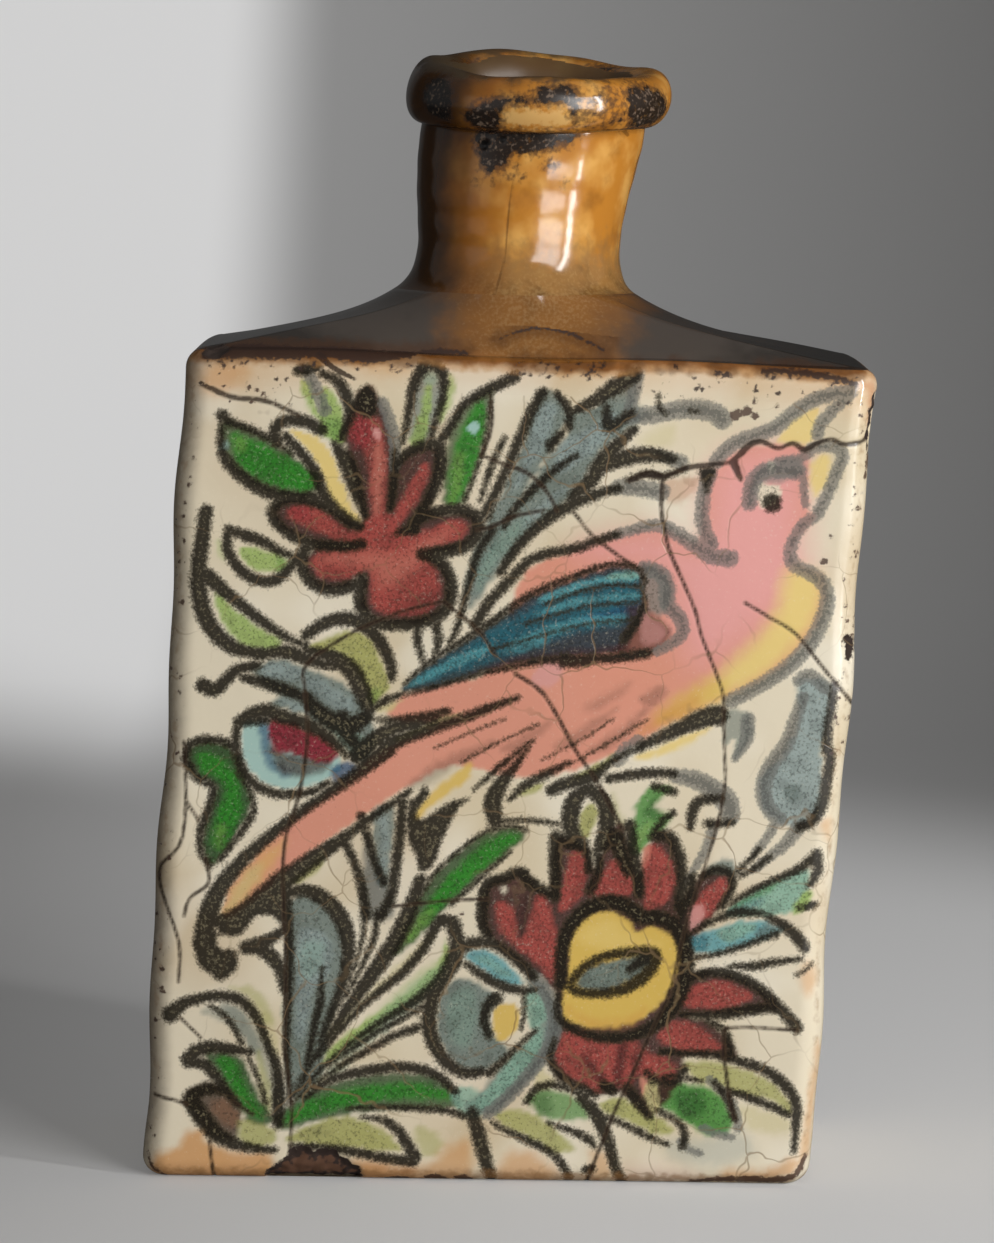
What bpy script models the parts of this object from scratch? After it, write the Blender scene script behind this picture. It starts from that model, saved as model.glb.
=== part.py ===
"""A slab-built earthenware bottle: a base and four walls luted together, a hipped shoulder, a thrown
neck and a rolled rim. Every piece is drawn upright, and then leans the way the fired bottle does."""

import math

import bmesh
import bpy
from mathutils import Matrix, Vector
from mathutils.geometry import interpolate_bezier

MM = 0.001
QUARTER_TURN = math.pi / 2

# Body slabs, outside sizes
BODY_WIDTH = 101 * MM
BODY_DEPTH = 48 * MM
WALL_HEIGHT = 119 * MM
WALL_THICKNESS = 6 * MM
BASE_THICKNESS = 7 * MM
CORNER_RADIUS = 4 * MM
FOOT_RADIUS = 3 * MM

# Hipped shoulder slab, from the wall tops up to the seat of the neck
SHOULDER_EDGE = 2.4 * MM
SHOULDER_RADIUS = 3 * MM
SHOULDER_RISE = 9 * MM
SHOULDER_THICKNESS = 6.2 * MM
ROOF_STRAIGHT_SHARE = 0.72
ROOF_SWEEP_POWER = 5

# Thrown neck, with a trumpet foot that stands on the shoulder
NECK_OFFSET = -3.5 * MM
NECK_HEIGHT = 25 * MM
NECK_FOOT_RADIUS = 18 * MM
NECK_WAIST_RADIUS = 15.1 * MM
NECK_WAIST_HEIGHT = 7 * MM
NECK_TOP_RADIUS = 16.7 * MM
BORE_RADIUS = 11 * MM

# Rolled rim on top of the neck
RIM_RADIUS = 19.9 * MM
RIM_HEIGHT = 8.6 * MM
MOUTH_RADIUS = 12.2 * MM
LIP_DEPTH = 4 * MM

# Coils of clay pressed into the inner seams and coved with a finger
COIL_LEG = 5 * MM
FINGER_RADIUS = 8 * MM

# Film of slip between luted pieces
SEAM = 0.3 * MM

# How the soft clay leant: the body to its right, the neck a little more, the mouth towards the front
TOP_SPREAD = 2 * MM
BODY_LEAN = 6.5 * MM
SHOULDER_FALL = 1.8 * MM
NECK_LEAN = 1.7 * MM
MOUTH_DIP = 3.6 * MM

# Fineness of the curves
CORNER_SEGMENTS = 5
FOOT_SEGMENTS = 4
LONG_SIDE_STEPS = 16
SHORT_SIDE_STEPS = 10
ROOF_RINGS = 6
TURN_STEPS = 56
FLARE_POINTS = 7
ROLL_POINTS = 12
LIP_POINTS = 7
COVE_POINTS = 6

# Places that follow from the sizes
WALL_INSIDE_X = BODY_WIDTH / 2 - WALL_THICKNESS
WALL_INSIDE_Y = BODY_DEPTH / 2 - WALL_THICKNESS
CORNER_ROUNDING = min(CORNER_RADIUS, WALL_THICKNESS - SEAM)
FOOT_ROUNDING = min(FOOT_RADIUS, CORNER_ROUNDING - SEAM)
SHOULDER_ROUNDING = min(SHOULDER_RADIUS, CORNER_ROUNDING - SEAM)
SHOULDER_BOTTOM = WALL_HEIGHT + SEAM
ROOF_BOTTOM = SHOULDER_BOTTOM + SHOULDER_EDGE + SHOULDER_ROUNDING
NECK_SEAT = ROOF_BOTTOM + SHOULDER_RISE
NECK_BOTTOM = NECK_SEAT + SEAM
NECK_TOP = NECK_BOTTOM + NECK_HEIGHT
RIM_BOTTOM = NECK_TOP + SEAM
COIL_BOTTOM = BASE_THICKNESS + SEAM

IVORY_GLAZE = ("ivory crackle glaze", (0.66, 0.57, 0.42, 1), 0.2)
AMBER_GLAZE = ("amber lead glaze", (0.40, 0.17, 0.035, 1), 0.12)
BARE_CLAY = ("bare terracotta", (0.38, 0.15, 0.07, 1), 0.85)


def settle(point):
    """Moves a point of the upright bottle to where it lies on the leaning one."""
    x, y, z = point
    climb = z / WALL_HEIGHT
    wall_climb = min(climb, 1)
    neck_climb = max(0, (z - NECK_SEAT) / NECK_HEIGHT)
    leaning_x = x * (1 + TOP_SPREAD / BODY_WIDTH * wall_climb) + BODY_LEAN * climb + NECK_LEAN * neck_climb
    fallen_z = z - SHOULDER_FALL * x / BODY_WIDTH * wall_climb
    dipped_z = fallen_z + MOUTH_DIP * y / (2 * RIM_RADIUS) * neck_climb
    return Vector((leaning_x, y, dipped_z))


def glaze(finish):
    """A Principled material of that name, made once."""
    name, colour, roughness = finish
    material = bpy.data.materials.get(name)
    if material is None:
        material = bpy.data.materials.new(name)
        material.use_nodes = True
        shader = material.node_tree.nodes["Principled BSDF"]
        shader.inputs["Base Color"].default_value = colour
        shader.inputs["Roughness"].default_value = roughness
        shader.inputs["Metallic"].default_value = 0
    return material


def place(name, bm, finish, parent):
    """Turns an upright bmesh into a leaning, named piece of the bottle."""
    bmesh.ops.recalc_face_normals(bm, faces=bm.faces)
    for vert in bm.verts:
        vert.co = settle(vert.co)
    mesh = bpy.data.meshes.new(name)
    bm.to_mesh(mesh)
    bm.free()
    mesh.shade_smooth()
    mesh.set_sharp_from_angle(angle=math.radians(35))
    mesh.materials.append(glaze(finish))
    piece = bpy.data.objects.new(name, mesh)
    piece.parent = parent
    bpy.context.collection.objects.link(piece)
    return piece


def block(low, high):
    """A plain slab between two opposite corners."""
    bm = bmesh.new()
    size = Vector(high) - Vector(low)
    centre = (Vector(high) + Vector(low)) / 2
    bmesh.ops.create_cube(bm, size=1, matrix=Matrix.Translation(centre) @ Matrix.Diagonal((*size, 1)))
    return bm


def near(a, b):
    return abs(a - b) < SEAM / 10


def round_edges(bm, edges, radius, segments):
    bmesh.ops.bevel(
        bm, geom=edges, offset=radius, segments=segments, profile=0.5, affect="EDGES", material=-1
    )


def broad_wall(name, side, parent):
    """A front or back slab, as wide as the bottle; side is -1 at the front and 1 at the back."""
    outside = side * BODY_DEPTH / 2
    inside = side * WALL_INSIDE_Y
    low = (-BODY_WIDTH / 2, min(outside, inside), 0)
    high = (BODY_WIDTH / 2, max(outside, inside), WALL_HEIGHT)
    bm = block(low, high)
    outer = [e for e in bm.edges if all(near(v.co.y, outside) for v in e.verts)]
    uprights = [e for e in outer if near(e.verts[0].co.x, e.verts[1].co.x)]
    round_edges(bm, uprights, CORNER_ROUNDING, CORNER_SEGMENTS)
    foot = [e for e in bm.edges if all(near(v.co.z, 0) for v in e.verts)]
    outer_foot = [e for e in foot if not all(near(v.co.y, inside) for v in e.verts)]
    round_edges(bm, outer_foot, FOOT_ROUNDING, FOOT_SEGMENTS)
    return place(name, bm, IVORY_GLAZE, parent)


def narrow_wall(name, side, parent):
    """A side slab between the broad ones; side is -1 at the left and 1 at the right."""
    outside = side * BODY_WIDTH / 2
    inside = side * WALL_INSIDE_X
    half_length = WALL_INSIDE_Y - SEAM
    low = (min(outside, inside), -half_length, 0)
    high = (max(outside, inside), half_length, WALL_HEIGHT)
    bm = block(low, high)
    foot = [e for e in bm.edges if all(near(v.co.z, 0) and near(v.co.x, outside) for v in e.verts)]
    round_edges(bm, foot, FOOT_ROUNDING, FOOT_SEGMENTS)
    return place(name, bm, IVORY_GLAZE, parent)


def base_slab(parent):
    """The floor, let in between the four walls."""
    half_x = WALL_INSIDE_X - SEAM
    half_y = WALL_INSIDE_Y - SEAM
    bm = block((-half_x, -half_y, 0), (half_x, half_y, BASE_THICKNESS))
    return place("base_slab", bm, BARE_CLAY, parent)


def rounded_outline(half_x, half_y, radius):
    """Points round a rectangle with round corners, anticlockwise, as many for every size."""
    arcs = []
    for index, (sign_x, sign_y) in enumerate(((1, 1), (-1, 1), (-1, -1), (1, -1))):
        centre = Vector((sign_x * (half_x - radius), sign_y * (half_y - radius)))
        angles = [QUARTER_TURN * (index + step / CORNER_SEGMENTS) for step in range(CORNER_SEGMENTS + 1)]
        arcs.append([centre + radius * Vector((math.cos(a), math.sin(a))) for a in angles])
    points = []
    for index, arc in enumerate(arcs):
        side_start = arc[-1]
        side_end = arcs[(index + 1) % len(arcs)][0]
        steps = LONG_SIDE_STEPS if index % 2 == 0 else SHORT_SIDE_STEPS
        points += arc
        points += [side_start.lerp(side_end, step / steps) for step in range(1, steps)]
    return points


def round_outline(radius, guide):
    """Points round the neck's axis, one abreast of each point of the rectangular guide."""
    half_x = max(p.x for p in guide)
    half_y = max(p.y for p in guide)
    angles = [math.atan2(p.y / half_y, p.x / half_x) for p in guide]
    return [Vector((NECK_OFFSET + radius * math.cos(a), radius * math.sin(a))) for a in angles]


def loft(rings):
    """A closed ring-shaped body through outlines that follow each other round its wall."""
    bm = bmesh.new()
    loops = [[bm.verts.new((p.x, p.y, height)) for p in outline] for outline, height in rings]
    for index, loop in enumerate(loops):
        before = loops[index - 1]
        for place_in_loop, vert in enumerate(loop):
            bm.faces.new((before[place_in_loop - 1], before[place_in_loop], vert, loop[place_in_loop - 1]))
    return bm


def shoulder(parent):
    """The hipped slab: a rectangle with a rounded edge that sweeps up to a round seat for the neck."""
    half_x = BODY_WIDTH / 2
    half_y = BODY_DEPTH / 2
    outer = rounded_outline(half_x, half_y, CORNER_ROUNDING)
    rings = [(outer, SHOULDER_BOTTOM), (outer, SHOULDER_BOTTOM + SHOULDER_EDGE)]
    for step in range(1, CORNER_SEGMENTS + 1):
        angle = QUARTER_TURN * step / CORNER_SEGMENTS
        inset = SHOULDER_ROUNDING * (1 - math.cos(angle))
        height = SHOULDER_BOTTOM + SHOULDER_EDGE + SHOULDER_ROUNDING * math.sin(angle)
        outline = rounded_outline(half_x - inset, half_y - inset, CORNER_ROUNDING - inset)
        rings.append((outline, height))
    eaves = rings[-1][0]
    seat = round_outline(NECK_FOOT_RADIUS, eaves)
    for step in range(1, ROOF_RINGS + 1):
        way = step / ROOF_RINGS
        outline = [a.lerp(b, way) for a, b in zip(eaves, seat)]
        sweep = ROOF_STRAIGHT_SHARE * way + (1 - ROOF_STRAIGHT_SHARE) * way**ROOF_SWEEP_POWER
        rings.append((outline, ROOF_BOTTOM + SHOULDER_RISE * sweep))
    hole = round_outline(BORE_RADIUS, eaves)
    inside = rounded_outline(WALL_INSIDE_X, WALL_INSIDE_Y, SEAM)
    rings.append((hole, NECK_SEAT))
    rings.append((hole, NECK_SEAT - SHOULDER_THICKNESS))
    rings.append((inside, SHOULDER_BOTTOM))
    return place("shoulder", loft(rings), AMBER_GLAZE, parent)


def turn(profile):
    """Spins a closed profile of (radius, height) points round the neck's axis."""
    bm = bmesh.new()
    verts = [bm.verts.new((NECK_OFFSET + radius, 0, height)) for radius, height in profile]
    edges = [bm.edges.new((v, verts[i - 1])) for i, v in enumerate(verts)]
    bmesh.ops.spin(
        bm,
        geom=verts + edges,
        cent=(NECK_OFFSET, 0, 0),
        axis=(0, 0, 1),
        angle=math.tau,
        steps=TURN_STEPS,
        use_merge=True,
    )
    return bm


def neck(parent):
    """A tube that swells from its waist to the rim, on a trumpet foot."""
    waist = NECK_BOTTOM + NECK_WAIST_HEIGHT
    pull = NECK_WAIST_HEIGHT / 2
    flare = interpolate_bezier(
        (NECK_FOOT_RADIUS, NECK_BOTTOM, 0),
        (NECK_FOOT_RADIUS - pull / 2, NECK_BOTTOM + pull / 2, 0),
        (NECK_WAIST_RADIUS, waist - pull, 0),
        (NECK_WAIST_RADIUS, waist, 0),
        FLARE_POINTS,
    )
    swell = interpolate_bezier(
        (NECK_WAIST_RADIUS, waist, 0),
        (NECK_WAIST_RADIUS, waist + pull, 0),
        (NECK_TOP_RADIUS, NECK_TOP - pull, 0),
        (NECK_TOP_RADIUS, NECK_TOP, 0),
        FLARE_POINTS,
    )
    profile = [(p[0], p[1]) for p in flare + swell[1:]]
    profile += [(BORE_RADIUS, NECK_TOP), (BORE_RADIUS, NECK_BOTTOM)]
    return place("neck", turn(profile), AMBER_GLAZE, parent)


def rim(parent):
    """The lip, rolled outwards over the neck and eased in towards the mouth."""
    profile = [(BORE_RADIUS, RIM_BOTTOM)]
    for step in range(ROLL_POINTS + 1):
        angle = QUARTER_TURN * (2 * step / ROLL_POINTS - 1)
        radius = NECK_TOP_RADIUS + (RIM_RADIUS - NECK_TOP_RADIUS) * math.cos(angle)
        profile.append((radius, RIM_BOTTOM + RIM_HEIGHT * (1 + math.sin(angle)) / 2))
    for step in range(1, LIP_POINTS + 1):
        angle = QUARTER_TURN * step / LIP_POINTS
        radius = NECK_TOP_RADIUS - (NECK_TOP_RADIUS - MOUTH_RADIUS) * math.sin(angle)
        profile.append((radius, RIM_BOTTOM + RIM_HEIGHT - LIP_DEPTH * (1 - math.cos(angle))))
    return place("rim", turn(profile), AMBER_GLAZE, parent)


def cove(run, corner, along_a, along_b):
    """A coil of clay in a corner: two legs of one length and a face hollowed by a finger."""
    start = Vector((COIL_LEG, 0))
    end = Vector((0, COIL_LEG))
    middle = (start + end) / 2
    half_chord = (end - start).length / 2
    reach = max(FINGER_RADIUS, half_chord + SEAM)
    rise = math.sqrt(reach**2 - half_chord**2)
    centre = middle + Vector((1, 1)).normalized() * rise
    spread = math.asin(half_chord / reach)
    section = [Vector((0, 0))]
    for step in range(COVE_POINTS + 1):
        angle = 2.5 * QUARTER_TURN + spread * (1 - 2 * step / COVE_POINTS)
        section.append(centre + reach * Vector((math.cos(angle), math.sin(angle))))
    bm = bmesh.new()
    verts = [bm.verts.new(corner + along_a * p.x + along_b * p.y) for p in section]
    face = bm.faces.new(verts)
    grown = bmesh.ops.extrude_face_region(bm, geom=[face])
    moved = [v for v in grown["geom"] if isinstance(v, bmesh.types.BMVert)]
    bmesh.ops.translate(bm, verts=moved, vec=run)
    return bm


def corner_coil(name, side_x, side_y, parent):
    """An upright coil in an inner corner, from the floor's coils to the shoulder seam."""
    bottom = COIL_BOTTOM + COIL_LEG + SEAM
    corner = Vector((side_x * (WALL_INSIDE_X - SEAM), side_y * (WALL_INSIDE_Y - SEAM), bottom))
    run = Vector((0, 0, WALL_HEIGHT - SEAM - bottom))
    bm = cove(run, corner, Vector((-side_x, 0, 0)), Vector((0, -side_y, 0)))
    return place(name, bm, BARE_CLAY, parent)


def base_coil(name, inward, half_length, half_reach, parent):
    """A coil along the floor seam of one wall, mitred at both ends; inward points into the bottle."""
    along = Vector((-inward.y, inward.x, 0))
    corner = -inward * half_reach - along * half_length + Vector((0, 0, COIL_BOTTOM))
    bm = cove(along * 2 * half_length, corner, inward, Vector((0, 0, 1)))
    for end in (-1, 1):
        mitre = corner if end < 0 else corner + along * 2 * half_length
        facing = along * end + inward
        bmesh.ops.bisect_plane(
            bm,
            geom=bm.verts[:] + bm.edges[:] + bm.faces[:],
            plane_co=mitre - along * end * SEAM,
            plane_no=facing,
            clear_outer=True,
        )
        open_edges = [e for e in bm.edges if e.is_boundary]
        bmesh.ops.contextual_create(bm, geom=open_edges)
    return place(name, bm, BARE_CLAY, parent)


def build():
    for old in list(bpy.data.objects):
        bpy.data.objects.remove(old)
    bottle = bpy.data.objects.new("bottle", None)
    bpy.context.collection.objects.link(bottle)

    base_slab(bottle)
    broad_wall("front_wall", -1, bottle)
    broad_wall("back_wall", 1, bottle)
    narrow_wall("left_wall", -1, bottle)
    narrow_wall("right_wall", 1, bottle)
    shoulder(bottle)
    neck(bottle)
    rim(bottle)

    for depth_name, side_y in (("front", -1), ("back", 1)):
        for width_name, side_x in (("left", -1), ("right", 1)):
            corner_coil(f"corner_coil_{depth_name}_{width_name}", side_x, side_y, bottle)

    reach_x = WALL_INSIDE_X - SEAM
    reach_y = WALL_INSIDE_Y - SEAM
    base_coil("base_coil_front", Vector((0, 1, 0)), reach_x, reach_y, bottle)
    base_coil("base_coil_back", Vector((0, -1, 0)), reach_x, reach_y, bottle)
    base_coil("base_coil_left", Vector((1, 0, 0)), reach_y, reach_x, bottle)
    base_coil("base_coil_right", Vector((-1, 0, 0)), reach_y, reach_x, bottle)


build()
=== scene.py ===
# A slab-built earthenware bottle: ivory body with a painted bird and flowers, amber shoulder, neck and rim
import math
import random

import bmesh
import bpy
import numpy as np
from mathutils import Matrix, Vector, noise


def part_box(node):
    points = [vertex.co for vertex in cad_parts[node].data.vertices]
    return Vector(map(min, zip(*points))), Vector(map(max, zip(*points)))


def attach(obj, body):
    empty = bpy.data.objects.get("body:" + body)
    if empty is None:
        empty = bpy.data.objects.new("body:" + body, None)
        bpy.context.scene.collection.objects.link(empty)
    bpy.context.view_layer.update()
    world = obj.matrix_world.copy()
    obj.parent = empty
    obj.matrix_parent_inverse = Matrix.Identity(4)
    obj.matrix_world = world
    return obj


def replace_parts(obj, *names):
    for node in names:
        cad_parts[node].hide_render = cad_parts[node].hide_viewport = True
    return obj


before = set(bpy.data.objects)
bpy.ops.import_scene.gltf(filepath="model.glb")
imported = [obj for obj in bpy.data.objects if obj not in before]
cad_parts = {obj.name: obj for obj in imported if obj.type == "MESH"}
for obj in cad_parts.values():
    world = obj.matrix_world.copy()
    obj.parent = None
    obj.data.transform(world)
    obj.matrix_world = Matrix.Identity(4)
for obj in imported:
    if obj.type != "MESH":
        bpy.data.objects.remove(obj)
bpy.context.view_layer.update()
mm = 0.001
print("frame loaded:", len(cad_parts), "nodes")

# The upright bottle in mm, and how far its soft clay leant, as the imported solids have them
body = {
    "width": 101,
    "depth": (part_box("back_wall")[1].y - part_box("front_wall")[0].y) / mm,
    "inside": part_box("back_wall")[0].y / mm,  # inner face of the broad walls, from the middle
    "insideX": 44.5,
    "wallTop": 119.15,  # middle of the slip seam under the shoulder
    "corner": 4,
    "foot": 3,
    "floorTop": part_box("base_slab")[1].z / mm,
    "hollow": 0.35,  # in the middle of the underside
}
shoulder = {"edge": 2.55, "round": 3, "rise": 9, "straightShare": 0.72, "sweepPower": 5, "thick": 6.2}
neck = {
    "offset": -3.5, "foot": 18, "waist": 15.1, "waistUp": 7.15, "top": 16.7, "bore": 11, "height": 25.45,
    "flareShare": 0.36, "flarePull": 2.5, "waistPull": 3.5,  # how the trumpet foot passes into the tube
    "frontTuck": 1.2, "oval": 0.2, "rings": 0.03,  # steeper in front, not quite round, faintly ringed
}
rim = {
    "radius": 19.9, "height": 8.75, "mouth": 12.2, "lipDepth": 4,
    "shares": (0.5, 0.25, 0.15, 0.1),  # of the rows: roll, lip, down the mouth, back under
    "lumps": [(0.3, 3, 0.6), (0.22, 5, 2), (0.12, 11, 1)],  # mm, how many round, where they start
    "waves": [(0.25, 4, 1), (0.15, 7, 0)],  # the same, up and down
    "tilt": 0.6,
}
lean = {"climb": 119, "spread": 2, "sway": 6.5, "fall": 1.8, "neck": 1.7, "dip": 3.6, "neckClimb": 25}
touch = {  # mm that the hand pressed the soft slabs in and out
    "push": 0.3, "finePush": 0.22, "bulge": 0.28, "fineBulge": 0.12, "lift": 0.22,
    "calmFoot": 12, "liftFrom": 110, "liftFull": 122,
}

eaves = body["wallTop"] + shoulder["edge"] + shoulder["round"]
seat = eaves + shoulder["rise"]
neckTop = seat + neck["height"]
halfWidth = body["width"] / 2
halfDepth = body["depth"] / 2
straight = halfWidth - body["corner"]  # half of the flat front, between the round corners
cornerArc = body["corner"] * math.pi / 2


def hexColour(code):
    parts = [int(code[i:i + 2], 16) / 255 for i in (1, 3, 5)]
    return [c / 12.92 if c < 0.04045 else ((c + 0.055) / 1.055) ** 2.4 for c in parts] + [1]


def smoothStep(low, high, value):
    share = np.clip((value - low) / (high - low), 0, 1)
    return share * share * (3 - 2 * share)


def clouds(points, size):
    # soft noise from -1 to 1, with lumps of about that many mm
    return np.array([noise.noise(p) for p in (points / size).tolist()])


def raggedness(points, coarse, fine):
    return clouds(points, coarse) + 0.6 * clouds(points + 40, fine)


def settle(points):
    # the same lean as the solids have
    x, y, z = points.T
    climb = z / lean["climb"]
    wallClimb = np.minimum(climb, 1)
    neckClimb = np.maximum(0, (z - seat) / lean["neckClimb"])
    spread = x * (1 + lean["spread"] / body["width"] * wallClimb)
    leaning = spread + lean["sway"] * climb + lean["neck"] * neckClimb
    fallen = z - lean["fall"] * x / body["width"] * wallClimb
    dipped = fallen + lean["dip"] * y / (2 * rim["radius"]) * neckClimb
    return np.stack([leaning, y, dipped], axis=1)


def handMade(points):
    # slow hollows and swellings that a hand leaves in a slab, the same waves for every piece
    x, y, z = points.T
    off = smoothStep(0, touch["calmFoot"], z)
    push = touch["push"] * np.sin(z / 9.5 + 0.4) + touch["finePush"] * np.sin(z / 4.1 + x / 30)
    bulge = touch["bulge"] * np.sin(x / 15 + 1.1) * np.sin(z / 19)
    bulge = bulge + touch["fineBulge"] * np.sin(x / 6.3 + z / 8)
    lift = touch["lift"] * np.sin(x / 8 + y / 11) * smoothStep(touch["liftFrom"], touch["liftFull"], z)
    return points + np.stack([push * off, bulge * off, lift], axis=1)


# Painting tools: a given line is smoothed, then every spot of the clay gets its distance to it in mm
brush = {"steps": 5, "reach": 3.0, "washRagged": 0.4}  # points in a span, mm past which a mark is far
tiny = 1e-9


def throughPoints(points, closed=False):
    line = np.array(points, float)
    if closed:
        line = np.vstack([line[-1], line, line[0], line[1]])
    else:
        line = np.vstack([2 * line[0] - line[1], line, 2 * line[-1] - line[-2]])
    t = np.linspace(0, 1, brush["steps"], endpoint=False)[:, None]
    spans = []
    for a, b, c, d in zip(line, line[1:], line[2:], line[3:]):
        bent = 2 * b + (c - a) * t + (2 * a - 5 * b + 4 * c - d) * t**2
        spans.append(0.5 * (bent + (3 * b - a - 3 * c + d) * t**3))
    return np.vstack(spans + [line[-2:-1]])


def nearSpots(spots, line, reach):
    inBox = np.all((spots > line.min(0) - reach) & (spots < line.max(0) + reach), axis=1)
    return np.nonzero(inBox)[0]


def lineDistance(spots, line, halfWidths):
    best = np.full(len(spots), np.inf)
    for a, b, wide, wideNext in zip(line, line[1:], halfWidths, halfWidths[1:]):
        run = b - a
        share = np.clip(((spots - a) @ run) / max(run @ run, tiny), 0, 1)
        away = np.linalg.norm(spots - a - share[:, None] * run, axis=1)
        best = np.minimum(best, away - wide - (wideNext - wide) * share)
    return best


def insideOf(spots, line):
    inside = np.zeros(len(spots), bool)
    for a, b in zip(line, line[1:]):
        crosses = (a[1] > spots[:, 1]) != (b[1] > spots[:, 1])
        rise = b[1] - a[1] if abs(b[1] - a[1]) > tiny else tiny
        inside ^= crosses & (spots[:, 0] < a[0] + (spots[:, 1] - a[1]) / rise * (b[0] - a[0]))
    return inside


def drawStrokes(spots, strokes, field):
    # one width in mm, or widths along a stroke, and then the points of each stroke that has them
    for width, *lines in strokes:
        half = np.atleast_1d(width) / 2
        for points in lines:
            line = throughPoints(points)
            halfWidths = np.interp(np.linspace(0, 1, len(line)), np.linspace(0, 1, len(half)), half)
            near = nearSpots(spots, line, brush["reach"])
            field[near] = np.minimum(field[near], lineDistance(spots[near], line, halfWidths))
    return field


def drawShapes(spots, shapes, field):
    for points in shapes:
        line = throughPoints(points, closed=True)
        near = nearSpots(spots, line, brush["reach"])
        edge = lineDistance(spots[near], line, np.zeros(len(line)))
        field[near] = np.minimum(field[near], np.where(insideOf(spots[near], line), -edge, edge))
    return field


def layWashes(spots, washes, ragged, colour):
    # a pigment, how strongly it covers, how soft its edge is in mm, and then each outline that it fills
    for pigment, strength, soft, *outlines in washes:
        for points in outlines:
            line = throughPoints(points, closed=True)
            near = nearSpots(spots, line, 2 + soft)
            edge = lineDistance(spots[near], line, np.zeros(len(line)))
            inward = np.where(insideOf(spots[near], line), edge, -edge)
            cover = strength * smoothStep(-soft, soft, inward + ragged[near] * brush["washRagged"])[:, None]
            colour[near, :3] += (np.array(hexColour(pigments[pigment])[:3]) - colour[near, :3]) * cover
            colour[near, 3:] += (fineness.get(pigment, 1) - colour[near, 3:]) * cover
    return colour


pigments = {
    "ivory": "#DBCFB6", "madder": "#A34A42", "maroon": "#43201F", "rose": "#CE948C", "green": "#2E8224",
    "deepGreen": "#1D4A1B", "lime": "#94AC5C", "olive": "#A3A25E", "celadon": "#84A994", "slate": "#68766F",
    "paleSlate": "#8F9D99", "teal": "#235F6C", "aqua": "#55979C", "deepTeal": "#173640", "pink": "#DD9C96",
    "salmon": "#D28B74", "yellow": "#DEC479", "gold": "#D1AF56", "crimson": "#86202F", "blue": "#1F4C70",
    "turquoise": "#9DBDB4", "umber": "#4A382D", "tan": "#C4853A", "rust": "#AC6634", "straw": "#C2B780",
    "honey": "#B5772B", "redClay": "#A4663F",
}
# share of the grains that shows in a light pigment; all of them show in the others
fineness = {
    "pink": 0.3, "salmon": 0.62, "rose": 0.4, "yellow": 0.2, "gold": 0.25, "turquoise": 0.4, "tan": 0.2,
}

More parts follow.
